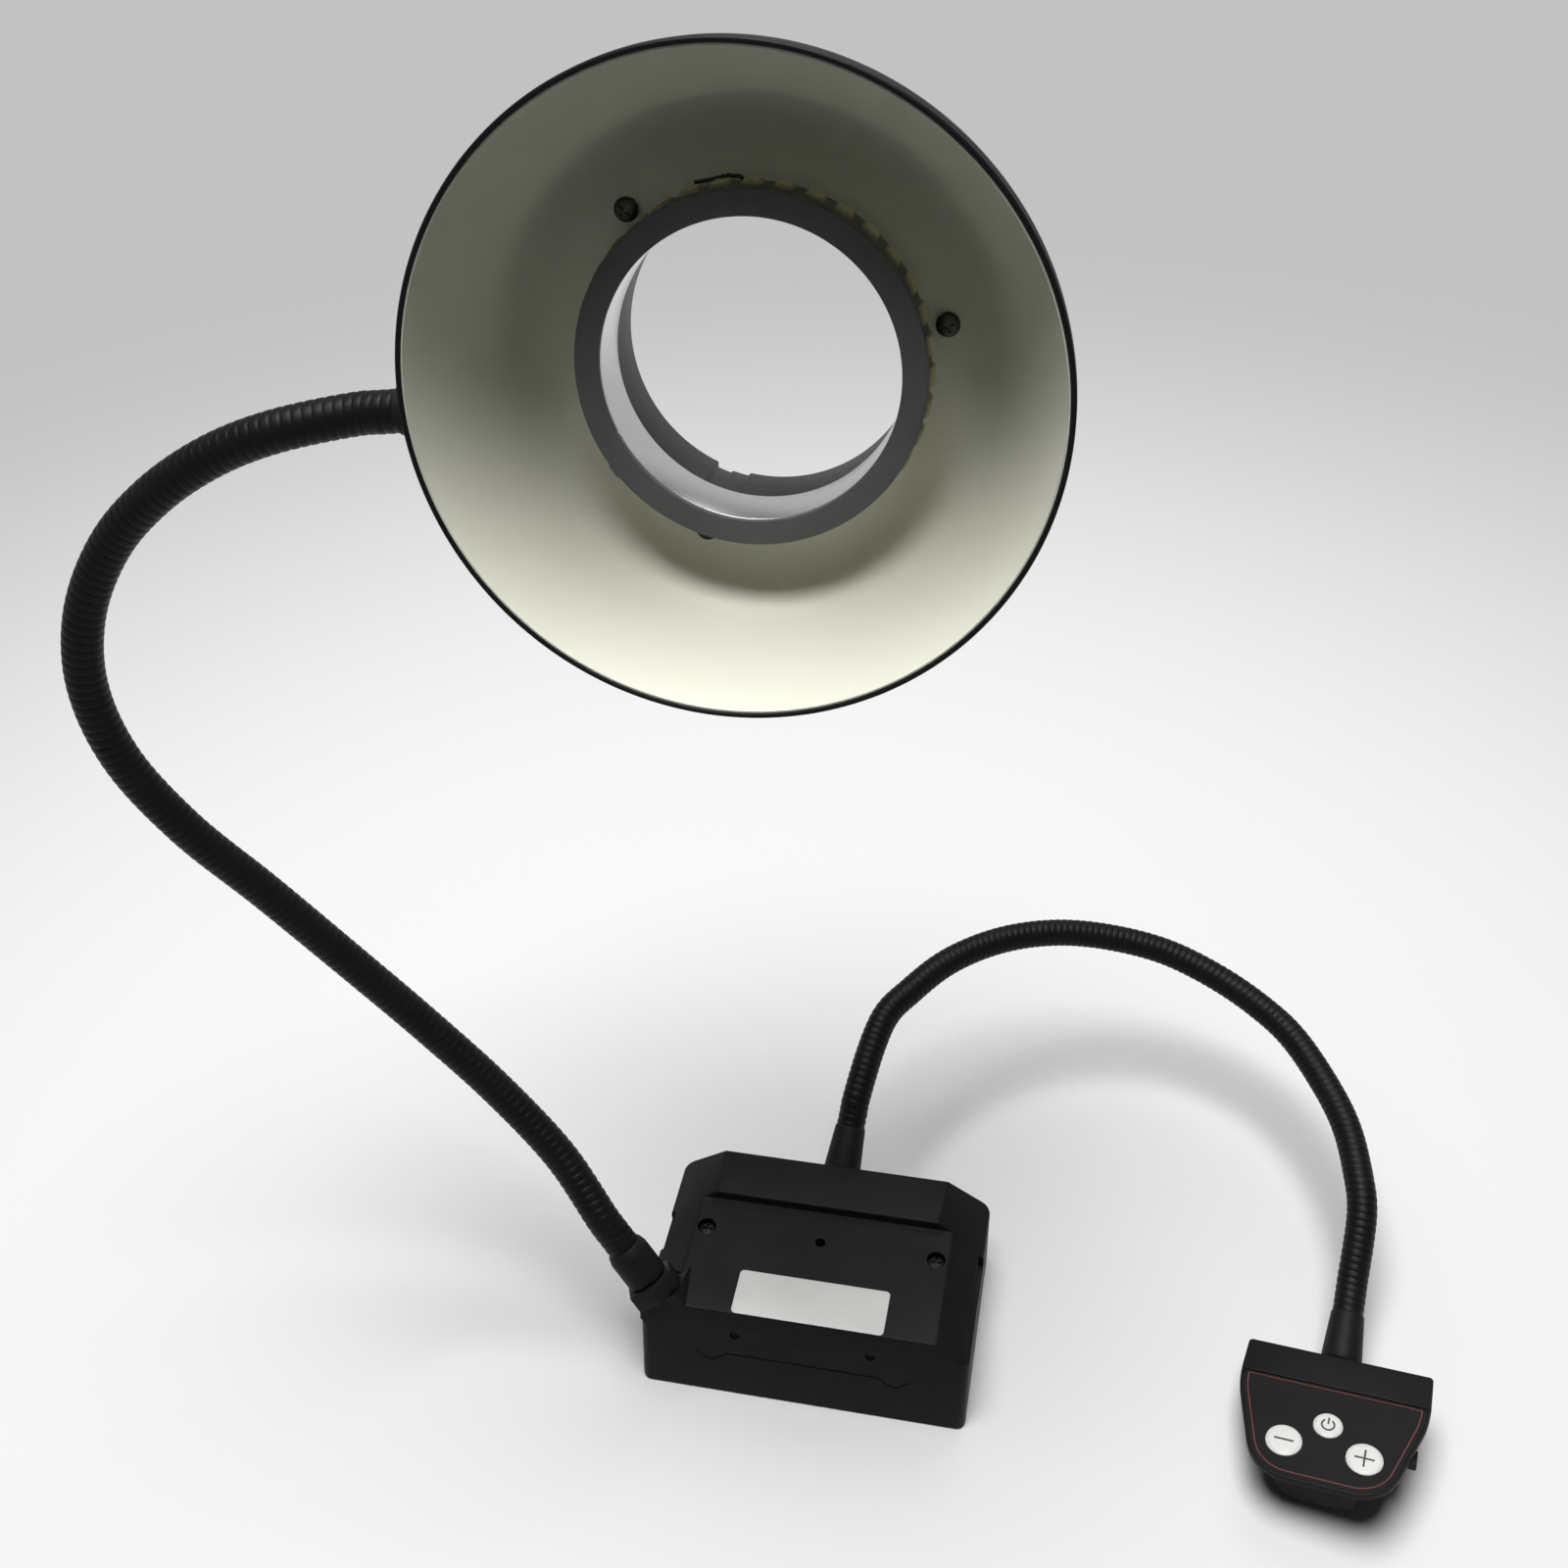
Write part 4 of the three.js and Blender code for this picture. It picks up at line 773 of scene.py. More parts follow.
    def holes(self) -> list[Mesh]:
        """Makes the tools for the holes, notches and seam.

        Returns:
            One mesh for each.
        """
        back, front, low, high = self.notch
        tools = []
        for sign in (-1, 1):
            x = sign * self.width / 2
            spot = self.on_front(sign * self.front_hole_x, self.front_hole_height)
            over = Matrix.Translation((sign * self.hole_x, self.hole_y, 0))
            tools += [moved(rod(2.75, 27.2, self.above), over),
                      block((x - self.notch_depth, back, low), (x + self.notch_depth, front, high)),
                      moved(rod(1.42, -1.6, 1), aimed(spot, self.front_normal))]
        tools += [moved(rod(1.5, 25.4, self.above), Matrix.Translation((0, self.hole_y, 0))),
                  moved(rod(8.5, self.arm_pad_top, 9, 64), aimed(ARM_SEAT, ARM_AXIS)),
                  moved(rod(self.loop_boss, self.loop_boss_top, 14.4, 64), aimed(LOOP_SEAT, LOOP_AXIS)),
                  moved(rod(4.9, -4, 1), aimed(self.inlet(self.depth / 2), Vector((0, 1, 0))))]
        tools.append(self.seam())
        return tools

    def seam(self) -> Mesh:
        """Makes the tool for the thin wavy seam across the front.

        Returns:
            The tool's mesh.
        """
        line = []
        for k in range(121):
            x = self.seam_half * (k / 60 - 1)
            away = min(abs(abs(x) - self.seam_dip_x) / self.seam_dip_half, 1.0)
            line.append((x, -self.seam_dip * (1 + math.cos(math.pi * away)) / 2))
        half = self.seam_width / 2
        outline = [(x, y - half) for x, y in line] + [(x, y + half) for x, y in reversed(line)]
        lean = Matrix.Rotation(math.pi / 2 - math.atan2(self.front_lean, self.recess), 4, "X")
        return moved(slab(outline, -0.5, 1), Matrix.Translation(self.on_front(0, self.seam_height)) @ lean)

    def build(self) -> None:
        """Adds the box's pieces."""
        piece("box_shell", self.shell(), BLACK_PLASTIC, body="box", replaces=["base_housing"], angle=28)
        label = rounded([(-20.9, -24.1), (22.9, -24.1), (22.9, -9.6), (-20.9, -9.6)], [1.3] * 4)
        piece("box_label", slab(label, 30.4, 30.65, 0.06), LABEL, body="box", replaces=["label_plate"])
        for i, sign in enumerate((-1, 1), 1):
            top = Matrix.Translation((sign * self.hole_x, self.hole_y, 27.5))
            piece(f"box_top_screw_{i}", TOP_SCREW.mesh(), BOX_SCREW, top, "box", [f"top_screw_{i}"])
            spot = self.on_front(sign * self.front_hole_x, self.front_hole_height) - self.front_normal * 1.3
            seat = aimed(spot, self.front_normal)
            piece(f"box_front_screw_{i}", FRONT_SCREW.mesh(), BOX_SCREW, seat, "box", [f"front_screw_{i}"])
        jack = soften([(0, -11), (4.6, -11), (4.6, 0.3), (5.8, 0.3), (5.8, 1.5), (2.8, 1.5), (2.8, -9),
                       (1, -9), (1, -1.2), (0, 0)], 0.25, closed=False)
        seat = aimed(self.inlet(self.depth / 2), Vector((0, 1, 0)))
        piece("box_inlet", lathe(jack, 64), FERRULE, seat, "box", ["dc_inlet"])
        for node, finish in (("base_plate", STEEL), ("driver_board", BOARD)):
            paint(node, finish)


class Route:
    """A smooth line through points, walked by its length."""

    def __init__(self, points: Sequence[Vector]) -> None:
        """Lays the line.

        Args:
            points: What it passes through, in order.
        """
        self.spots: list[Vector] = []
        ends = [2 * points[0] - points[1], *points, 2 * points[-1] - points[-2]]
        for a, b, c, d in zip(ends, ends[1:], ends[2:], ends[3:]):
            first, second, third = (max((q - p).length ** 0.5, 1e-4) for p, q in ((a, b), (b, c), (c, d)))
            leave = ((b - a) / first - (c - a) / (first + second) + (c - b) / second) * second
            arrive = ((c - b) / second - (d - b) / (second + third) + (d - c) / third) * second
            for k in range(40):
                t = k / 40
                self.spots.append(b * (2 * t**3 - 3 * t**2 + 1) + leave * (t**3 - 2 * t**2 + t)
                                  + c * (3 * t**2 - 2 * t**3) + arrive * (t**3 - t**2))
        self.spots.append(points[-1].copy())
        self.places = [0.0]
        for a, b in zip(self.spots, self.spots[1:]):
            self.places.append(self.places[-1] + (b - a).length)
        self.length = self.places[-1]

    def at(self, place: float) -> Vector:
        """Gives the point at a length along the line.

        Args:
            place: The length from its start.

        Returns:
            The point.
        """
        place = min(max(place, 0.0), self.length)
        low, high = 0, len(self.places) - 1
        while high - low > 1:
            middle = (low + high) // 2
            low, high = (middle, high) if self.places[middle] <= place else (low, middle)
        share = (place - self.places[low]) / max(self.places[high] - self.places[low], 1e-9)
        return self.spots[low].lerp(self.spots[high], share)

    def along(self, place: float) -> Vector:
        """Gives the direction at a length along the line.

        Args:
            place: The length from its start.

        Returns:
            The direction.
        """
        return (self.at(place + 0.4) - self.at(place - 0.4)).normalized()


def tube(route: Route, start: float, stop: float, step: float, sides: int, across: Vector,
         radius: Callable[[float, float], float]) -> Mesh:
    """Skins a stretch of a route.

    Args:
        route: The line.
        start: Where the skin begins.
        stop: Where it ends.
        step: The most between two rings.
        sides: The points of each ring.
        across: A direction that the rings keep to.
        radius: The radius at a length and a share of a turn.

    Returns:
        The skin's mesh.
    """
    count = max(2, round((stop - start) / step))
    rings = []
    for i in range(count + 1):
        place = start + (stop - start) * i / count
        middle, ahead = route.at(place), route.along(place)
        side = (across - ahead * across.dot(ahead)).normalized()
        other = ahead.cross(side)
        ring = []
        for k in range(sides):
            turn = 2 * math.pi * k / sides
            reach = radius(place, k / sides)
            ring.append(middle + (side * math.cos(turn) + other * math.sin(turn)) * reach)
        rings.append(ring)
    return loft(rings)


def straight(point: Vector, axis: Vector, shares: Sequence[float], length: float) -> list[Vector]:
    """Gives points on a straight line.

    Args:
        point: Its start.
        axis: Its direction.
        shares: The shares of its length.
        length: The length.

    Returns:
        The points.
    """
    return [point + axis.normalized() * length * share for share in shares]


@dataclass(frozen=True)
class Sleeve:
    """A ferrule along Z that holds one end of an arm."""

    radius: float
    neck: float
    low: float
    length: float
    straight_share: float
    stud: float
    stud_depth: float
    bore: float = 1.2
    seated: float = 0.7

    @property
    def mouth(self) -> float:
        """The height at which the arm begins, a little inside the ferrule."""
        return self.low + self.length - self.seated

    def mesh(self) -> Mesh:
        """Makes the ferrule.

        Returns:
            Its mesh.
        """
        top = self.low + self.length
        outline = [(self.bore, -self.stud_depth), (self.stud, -self.stud_depth), (self.stud, self.low),
                   (self.radius, self.low), (self.radius, self.low + self.length * self.straight_share),
                   (self.neck, top), (self.bore, top)]
        return lathe(soften(outline, 0.7), 64)


ARM_SLEEVE = Sleeve(radius=6, neck=5.3, low=7.4, length=12, straight_share=0.8, stud=2.9, stud_depth=4.5)
LOOP_SLEEVE = Sleeve(radius=5.6, neck=4.6, low=2.9, length=14.4, straight_share=0.12, stud=3, stud_depth=5)
POD_SLEEVE = replace(LOOP_SLEEVE, low=0.3)


@dataclass
class BendArm:
    """A bendable arm of wound wire between two ferrules."""

    name: str
    route: Route
    radius: float
    bodies: list[str]
    across: Vector
    wire: float = 2.3
    groove: float = 0.3
    rigid_share: float = 0.36

    def surface(self, place: float, turn: float) -> float:
        """Gives the wound surface's radius.

        Args:
            place: The length along the arm.
            turn: The share of a turn round it.

        Returns:
            The radius there.
        """
        share = (place / self.wire + turn) % 1.0
        crown = 1 - abs(2 * share - 1) ** 5
        return self.radius - self.groove * (1 - crown)

    def build(self) -> None:
        """Adds the arm's pieces, each over one hinge."""
        hinges = len(self.bodies) - 1
        stretch = self.route.length / hinges
        for i in range(hinges):
            start, stop = stretch * i, stretch * (i + 1)
            name = f"{self.name}_wound_{i + 1}"
            skin = tube(self.route, start, stop, self.wire / 8, 32, self.across, self.surface)
            nodes = [f"{self.name}_{i + 1}"] + ([f"{self.name}_{hinges + 1}"] if i == hinges - 1 else [])
            obj = piece(name, skin, ARM_BLACK, replaces=nodes, angle=70)
            still = self.rigid_share * stretch / 2
            first, last = self.route.at(start + still), self.route.at(stop - still)
            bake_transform(obj)


def long_arm() -> BendArm:
    """Lays the arm that holds the hood.

    Returns:
        The arm.
    """
    shares = [(0.14, 0.25, 0.78), (0.21, 0.4, 1.01), (0.29, 0.555, 0.96), (0.38, 0.705, 0.7),
              (0.475, 0.83, 0.25), (0.57, 0.94, -0.31), (0.655, 1.003, -0.64), (0.735, 0.995, -0.8),
              (0.81, 0.92, -0.82), (0.876, 0.792, -0.72), (0.925, 0.637, -0.66), (0.96, 0.475, -0.53),
              (0.983, 0.31, -0.39)]
    foot = ARM_SEAT + ARM_AXIS * ARM_SLEEVE.mouth
    tip = HOOD @ (HOOD_RADIAL * HOOD_MOUTH + HOOD_ENTRY)
    tip_axis = (HOOD.to_3x3() @ HOOD_RADIAL).normalized()
    middle = [ARM_SEAT.lerp(tip, a) + Vector((-98 * b, 14 * c, 0)) for a, b, c in shares]
    points = [*straight(foot, ARM_AXIS, (0, 0.5, 1), 10), *middle, *straight(tip, tip_axis, (1, 0.5, 0), 10)]
    bodies = ["box", *(f"long_stretch_{i}" for i in range(2, 6)), "hood"]
    return BendArm("long_arm", Route(points), 4.82, bodies, Vector((0, 1, 0)))


def short_arm() -> BendArm:
    """Lays the arm that holds the keypad.

    Returns:
        The arm.
    """
    shares = [(0.046, 0.453, 0.803), (0.09, 0.565, 0.88), (0.16, 0.705, 0.96), (0.261, 0.839, 0.997),
              (0.37, 0.93, 0.995), (0.478, 0.983, 0.951), (0.608, 1, 0.889), (0.72, 0.965, 0.816),
              (0.81, 0.9, 0.76), (0.88, 0.815, 0.72), (0.95, 0.66, 0.65), (0.99, 0.53, 0.59),
              (1.012, 0.377, 0.506), (1.02, 0.28, 0.411)]
    foot = LOOP_SEAT + LOOP_AXIS * LOOP_SLEEVE.mouth
    tip = POD @ (POD_SEAT + POD_AXIS * POD_SLEEVE.mouth)
    tip_axis = (POD.to_3x3() @ POD_AXIS).normalized()
    middle = [LOOP_SEAT.lerp(tip, a) + Vector((0, 100 * b, 35 * c)) for a, b, c in shares]
    points = [*straight(foot, LOOP_AXIS, (0, 0.5, 1), 9), *middle, *straight(tip, tip_axis, (1, 0.5, 0), 9)]
    bodies = ["box", *(f"short_stretch_{i}" for i in range(2, 5)), "keypad"]
    return BendArm("short_arm", Route(points), 4.34, bodies, Vector((0, 0, 1)), 2.1)


def build_fittings() -> None:
    """Adds the nut, the ferrules and the hood's collar."""
    sides = [(8.08 * math.cos(math.pi * k / 3), 8.08 * math.sin(math.pi * k / 3)) for k in range(6)]
    nut = slab(soften(sides, 0.5), 1.7, ARM_SLEEVE.low - 0.3)
    bevel_sharp(nut, 0.45, 2)
    seat = aimed(ARM_SEAT, ARM_AXIS)
    piece("arm_nut_hex", nut, FERRULE, seat, "box", ["arm_nut"])

    for name, sleeve, place, body, node in (
            ("arm_sleeve", ARM_SLEEVE, seat, "box", "arm_ferrule"),
            ("short_arm_sleeve", LOOP_SLEEVE, aimed(LOOP_SEAT, LOOP_AXIS), "box", "short_arm_ferrule"),
            ("keypad_sleeve", POD_SLEEVE, POD @ aimed(POD_SEAT, POD_AXIS), "keypad", "keypad_ferrule")):
        piece(name, sleeve.mesh(), FERRULE, place, body, [node])
    collar = soften([(1.2, 67.5), (3, 67.5), (3, 71.5), (5.3, 71.5), (5.3, 76.1), (1.2, 76.1)], 0.5)
    piece("hood_sleeve", lathe(collar, 64), FERRULE, HOOD @ aimed(HOOD_ENTRY, HOOD_RADIAL), "hood",
          ["hood_collar"])


@dataclass
class Hood:
    """The round hood with its bowl, core and lights."""

    rim: float = 70.0
    wall: float = 1.2
    depth: float = 46.2
    profile: tuple[tuple[float, float], ...] = (
        (70.0, -3.2), (69.7, -7.0), (68.4, -13.0), (66.2, -20.0), (63.3, -28.0), (59.5, -36.0), (54.0, -43.0),
        (49.0, -46.2), (40.5, -46.2))
    bowl_radius: float = 38.4
    bowl_width: float = 30.0
    bowl_depth: float = 38.0
    bowl_rise: float = 37.5
    bowl_bend: float = 2.6
    bowl_wall: float = 0.8
    bore: float = 33.0
    chips: int = 36
    screw_circle: float = 42.3
    screw_angles: tuple[float, ...] = (12.8, 132.8, 252.8)

    def curve(self, margin: float) -> Outline:
        """Gives the rounded back from the rim to the middle.

        Args:
            margin: How far it lies inside the outer one.

        Returns:
            The points.
        """
        rows = soften(list(self.profile), 6, closed=False, steps=8)
        points = []
        for i, row in enumerate(rows):
            along = Vector(rows[min(i + 1, len(rows) - 1)]) - Vector(rows[max(i - 1, 0)])
            side = Vector((along.y, -along.x)).normalized() * margin
            points.append((row[0] + side.x, row[1] + side.y))
        return points

    def reach(self, depth: float) -> float:
        """Gives the shell's outer radius.

        Args:
            depth: How far behind the rim.

        Returns:
            The radius there.
        """
        for (near, front), (far, rear) in zip(self.profile, self.profile[1:]):
            if depth <= -rear:
                return near + (far - near) * max(0.0, (depth + front) / (front - rear))
        return self.profile[-1][0]

    def bowl(self, back: float) -> Outline:
        """Gives the bowl's curve from its flat to its lip.

        Args:
            back: How far it lies behind the bright side.

        Returns:
            The points.
        """
        points = []
        for k in range(41):
            share = k / 40
            radius = self.bowl_radius + self.bowl_width * share
            height = self.bowl_rise * share**self.bowl_bend - self.bowl_depth
            points.append((radius + back * (0.55 - 0.1 * share), height - back * (1 - share)))
        return points

    def at(self, radius: float, degrees: float, depth: float) -> Vector:
        """Gives a point in the hood's own frame.

        Args:
            radius: Its distance from the axis.
            degrees: Its angle.
            depth: How far it lies behind the rim.

        Returns:
            The point.
        """
        angle = math.radians(degrees)
        return Vector((radius * math.cos(angle), radius * math.sin(angle), -depth))

    def add(self, name: str, bm: Mesh, finish: Finish, nodes: Sequence[str], **options: object) -> None:
        """Adds a piece that rides on the hood.

        Args:
            name: Its name.
            bm: Its mesh in the hood's frame.
            finish: Its finish.
            nodes: The CAD nodes it stands for.
            **options: What else the piece is given.
        """
        piece(name, bm, finish, HOOD, "hood", nodes, axis=HOOD, **options)

    def shell(self) -> Mesh:
        """Makes the outer shell with its rolled rim and boss.

        Returns:
            The shell's mesh.
        """
        inner = self.curve(self.wall)
        half = self.wall / 2
        roll = [(self.rim - half + half * math.cos(a), half * math.sin(a) - half)
                for a in [math.pi * k / 10 for k in range(10, -1, -1)]]
        outline = [*roll, (self.rim, -2.2), (self.rim - 0.18, -2.45), (self.rim - 0.18, -2.75),
                   (self.rim, -3.0), *self.curve(0), (38.9, -self.depth), (38.3, -self.depth + 0.4),
                   (38.3, -self.depth + self.wall), *reversed(inner)]
        boss = moved(lathe(soften([(3.3, 68.4), (5.8, 66.5), (5.8, 71.2), (3.3, 71.2)], 0.5), 64),
                     aimed(HOOD_ENTRY, HOOD_RADIAL))
        for vert in boss.verts:
            radius = vert.co.xy.length
            if radius < 69:
                push_out(vert, self.reach(-vert.co.z) - 0.7 - radius)
        return merged(lathe(outline, 256), boss)

    def flange(self) -> Mesh:
        """Makes the front flange with the worn places of its edges.

        Returns:
            The flange's mesh.
        """
        outline = [(self.bore, -25.8), (38.6, -25.8), (38.6, -24.6), (self.bore, -24.6)]
        ring = lathe(soften(outline, 0.25), 360)
        for vert in ring.verts:
            angle = math.degrees(math.atan2(vert.co.y, vert.co.x))
            radius = vert.co.xy.length
            if radius < 34 and abs(angle + 153.7) < 1.2:
                push_out(vert, 0.5)
            elif radius > 38 and -146 < angle < -141:
                push_out(vert, 0.35)
        return ring

    def collar(self) -> Mesh:
        """Makes the rear collar with the worn notch in its inner edge.

        Returns:
            The collar's mesh.
        """
        outline = [(34.1, -41.3), (38.9, -41.3), (38.9, -44.7), (38, -44.7), (38, -58), (34.1, -58)]
        ring = lathe(soften(outline, 0.4), 360)
        for vert in ring.verts:
            angle = math.degrees(math.atan2(vert.co.y, vert.co.x))
            if vert.co.xy.length < 34.6 and vert.co.z < -54 and -114 < angle < -101:
                push_out(vert, 1.3 if angle < -107.5 else 0.75)
        return ring

    def lights(self) -> None:
        """Adds the strip and its light chips."""
        strip = lathe(soften([(37.8, -35.6), (38.3, -35.6), (38.3, -27.4), (37.8, -27.4)], 0.1), 144)
        self.add("light_strip", strip, STRIP, ["led_strip"])
        chips, caps = bmesh.new(), bmesh.new()
        for k in range(self.chips):
            turn = Matrix.Rotation(2 * math.pi * k / self.chips, 4, "Z")
            chips = merged(chips, moved(block((38.2, -2.1, -34.2), (38.9, 2.1, -28.8), 0.15), turn))
            caps = merged(caps, moved(block((38.85, -1.75, -33.8), (39.35, 1.75, -29.2), 0.2), turn))
        self.add("light_chips", chips, CHIP, [])
        self.add("light_caps", caps, PHOSPHOR, [])

    def lead(self) -> None:
        """Adds the black lead behind and through the bowl."""
        start = math.degrees(HOOD_BOSS) + 360
        falls = [(70.5, 15), (68.6, 15), (66.6, 15.2), (64.6, 17), (62.6, 20.4), (57.5, 30), (51, 38)]
        rows = [(radius, start, depth) for radius, depth in falls]
        rows += [(47.4, start - (start - 99) * i / 5, 40.4) for i in range(1, 5)]
        rows += [(44.5, 99, 40.6), (41.4, 99, 40.2), (40.3, 99.5, 39.9)]
        left = [(39.3, 98.5, 37), (39.2, 101.5, 36.4), (39.2, 104, 36.4), (39.3, 107, 36.6), (39.5, 110, 37)]
        right = [(39.3, 101, 36.9), (39.2, 99, 36.2), (39.2, 97, 36), (38.9, 95.2, 36.2), (38.4, 94.4, 36.4)]
        strands = []
        for path, radius in ((rows, 0.8), (left, 0.42), (right, 0.42)):
            route = Route([self.at(*row) for row in path])
            strands.append(tube(route, 0, route.length, 0.6, 16, Vector((0.1, 0.2, 1)),
                                lambda place, turn, reach=radius: reach))
        self.add("hood_wire", merged(*strands), LEAD, ["hood_lead"], angle=60)

    def build(self) -> None:
        """Adds the hood's pieces."""
        self.add("hood_cover", self.shell(), HOOD_BLACK, ["hood_shell"])
        bowl = lathe([(37.8, -self.bowl_depth), *self.bowl(0), *reversed(self.bowl(self.bowl_wall)),
                      (37.8, -self.bowl_depth - self.bowl_wall)], 256)
        self.add("hood_bowl", bowl, REFLECTOR, ["reflector"])
        core = soften([(self.bore, -26.1), (37.5, -26.1), (37.5, -39), (38.9, -39), (38.9, -41),
                       (self.bore, -41)], 0.2)
        self.add("ring_core", lathe(core, 192), SILVER, ["led_core"])
        self.add("ring_flange", self.flange(), FLANGE, ["front_flange"])
        self.add("ring_collar", self.collar(), COLLAR, ["rear_collar"])
        self.lights()
        self.lead()
        for i, degrees in enumerate(self.screw_angles, 1):
            seat = HOOD @ Matrix.Translation(self.at(self.screw_circle, degrees, 37.7))
            spin = Matrix.Rotation(math.radians(25 * i), 4, "Z")
            piece(f"bowl_screw_{i}", BOWL_SCREW.mesh(), SCREW, seat @ spin, "hood",
                  [f"reflector_screw_{i}"])


@dataclass
class Keypad:
    """The keypad with its face, keys and print."""

    half: float = 25.4
    rear_half: float = 25.0
    band: float = 10.5
    gap: float = 0.3
    play: float = 0.15

    def outline(self, margin: float, back: float, back_radius: float = 1.2) -> Outline:
        """Gives the outline from above.

        Args:
            margin: How far it lies inside the outer one.
            back: How far back it reaches before it moves inwards.
            back_radius: The rounding of its rear corners.

        Returns:
            The points, anticlockwise.
        """
        left = [(-self.rear_half, -6.0, 30.0), (-17.4, -32.0, 12.0)]
        if back > 0:
            left = [(-self.rear_half, back, back_radius), (-self.half, 0.0, 0.0), *left]
        else:
            left = [(-self.half, back, back_radius), *left]
        rows = left + [(-x, y, radius) for x, y, radius in reversed(left)]
        corners = inset([(x, y) for x, y, _ in rows], margin)
        radii = [0.0 if radius == 0 else max(radius - margin, 0.3) for _, _, radius in rows]
        return rounded(corners, radii)

    def front(self, margin: float) -> Outline:
        """Gives the outline of the face in front of the band.

        Args:
            margin: How far it lies inside the outer one.

        Returns:
            The points, anticlockwise.
        """
        return self.outline(margin, -self.gap, self.gap)

    def ring(self, margin: float, depth: float) -> list[Vector]:
        """Gives a ring of the hull under the face.

        Args:
            margin: How far it lies inside the outline.
            depth: How far it lies under the face.

        Returns:
            The ring's points.
        """
        return [Vector((x, y, -depth)) for x, y in self.outline(margin, self.band + margin)]

    def add(self, name: str, bm: Mesh, finish: Finish, nodes: Sequence[str],
            body: str = "keypad") -> None:
        """Adds a piece of the keypad.

        Args:
            name: Its name.
            bm: Its mesh in the keypad's frame.
            finish: Its finish.
            nodes: The CAD nodes it stands for.
            body: The body it rides on.
        """
        piece(name, bm, finish, POD, body, nodes)

    def body(self) -> Mesh:
        """Makes the hull with its band, tab and boss.

        Returns:
            The hull's mesh.
        """
        hull = loft([self.ring(0.8, 2.05), self.ring(2.2, 4.5), self.ring(4.6, 8.2), self.ring(7, 10.6),
                     self.ring(7.5, 11)])
        half, rear = self.half, self.rear_half
        band = rounded([(-half, 0.02), (half, 0.02), (rear, self.band), (-rear, self.band)],
                       [0.2, 0.2, 1.2, 1.2])
        boss = moved(lathe(soften([(0, -5), (5.8, -5), (5.8, 0), (0, 0)], 0.6, closed=False), 64),
                     aimed(POD_SEAT, POD_AXIS))
        for vert in boss.verts:
            vert.co.y = max(vert.co.y, self.band - 1.6)
        return merged(hull, slab(band, -2.3, 0, 0.35), block((10, -17, -5), (23.4, -12, -2.6), 0.4), boss)

    def face(self) -> Mesh:
        """Makes the face plate with its holes and recess.

        Returns:
            The plate's mesh.
        """
        plate = slab(self.front(0), -2, 0, 0.2, 3)
        tools = [slab(self.front(0.65), -0.9, 1), *self.key_holes()]
        return carved(plate, [(Cut.TAKE, tool) for tool in tools])

    def key_holes(self) -> list[Mesh]:
        """Makes the tools for the holes that the keys stand in.

        Returns:
            One mesh for each.
        """
        return [moved(rod(radius + self.play, -3, 1, 64), Matrix.Translation((x, y, 0)))
                for _, x, y, radius in self.keys()]

    def keys(self) -> list[tuple[str, float, float, float]]:
        """Lists the keys.

        Returns:
            Each key's name, place and radius.
        """
        return [("minus", -10.5, -20.5, 4.85), ("plus", 10.5, -20.5, 4.85), ("power", 0.0, -12.7, 3.92)]

    def line(self) -> Mesh:
        """Makes the red line printed round the panel.

        Returns:
            The line's mesh.
        """
        outer, inner = (self.outline(margin, 1.1, self.gap) for margin in (2.0, 2.3))
        low, high = -0.12, -0.07
        rings = [[Vector((x, y, z)) for x, y in points]
                 for points, z in ((outer, low), (outer, high), (inner, high), (inner, low), (outer, low))]
        return tidy(loft(rings, capped=False))

    def symbol(self, name: str) -> Mesh:
        """Makes the sign on a key, round the key's middle.

        Args:
            name: The key's name.

        Returns:
            The sign's mesh.
        """
        low, high = 0.15, 0.42
        bar = block((-2.6, -0.26, low), (2.6, 0.26, high))
        if name == "minus":
            return bar
        if name == "plus":
            return carved(bar, [(Cut.JOIN, block((-0.26, -2.6, low), (0.26, 2.6, high)))])
        arc = []
        for radius, order in ((1.9, 1), (1.42, -1)):
            angles = [math.radians(125 + 290 * k / 32) for k in range(33)][::order]
            arc += [(radius * math.cos(a), radius * math.sin(a)) for a in angles]
        return merged(slab(arc, low, high), block((-0.24, 0.2, low), (0.24, 2.3, high)))

    def build(self) -> None:
        """Adds the keypad's pieces."""
        self.add("keypad_hull", self.body(), BLACK_PLASTIC, ["keypad_body"])
        # The foot's lighter grey than the hull is painted bounce light from the table below
        foot = rounded([(-14.4, -26.8), (9.8, -26.8), (9.8, -6), (-14.4, -6)], [8, 4.5, 1.2, 6])
        self.add("keypad_foot", slab(foot, -16.2, -9, 0.6), FOOT_PAINTED_BOUNCE, [])
        self.add("keypad_plate", self.face(), BLACK_PLASTIC, ["keypad_face"])
        panel = slab(self.front(0.8), -0.6, -0.1)
        film = carved(panel, [(Cut.TAKE, hole) for hole in self.key_holes()])
        self.add("keypad_film", film, PANEL, ["keypad_panel"])
        self.add("keypad_line", self.line(), RED_LINE, [])
        for name, x, y, radius in self.keys():
            cap = [(0.0, -3.9), (2, -3.9), (2, -3.1), (radius + 0.9, -3.1), (radius + 0.9, -2.3),
                   (radius, -2.3), (radius, -0.05), (radius * 0.8, 0.3), (0.0, 0.35)]
            place = Matrix.Translation((x, y, 0))
            self.add(f"{name}_cap", moved(lathe(soften(cap, 0.25, closed=False), 72), place), BUTTON,
                     [f"{name}_button"], f"{name}_key")
            self.add(f"{name}_sign", moved(self.symbol(name), place), SYMBOL, [], f"{name}_key")
        for i, sign in enumerate((-1, 1), 1):
            seat = POD @ Matrix.Translation((sign * 12.5, -3.2, -10.1)) @ Matrix.Rotation(math.pi, 4, "X")
            piece(f"keypad_bolt_{i}", KEYPAD_SCREW.mesh(), SCREW, seat, "keypad", [f"keypad_screw_{i}"])
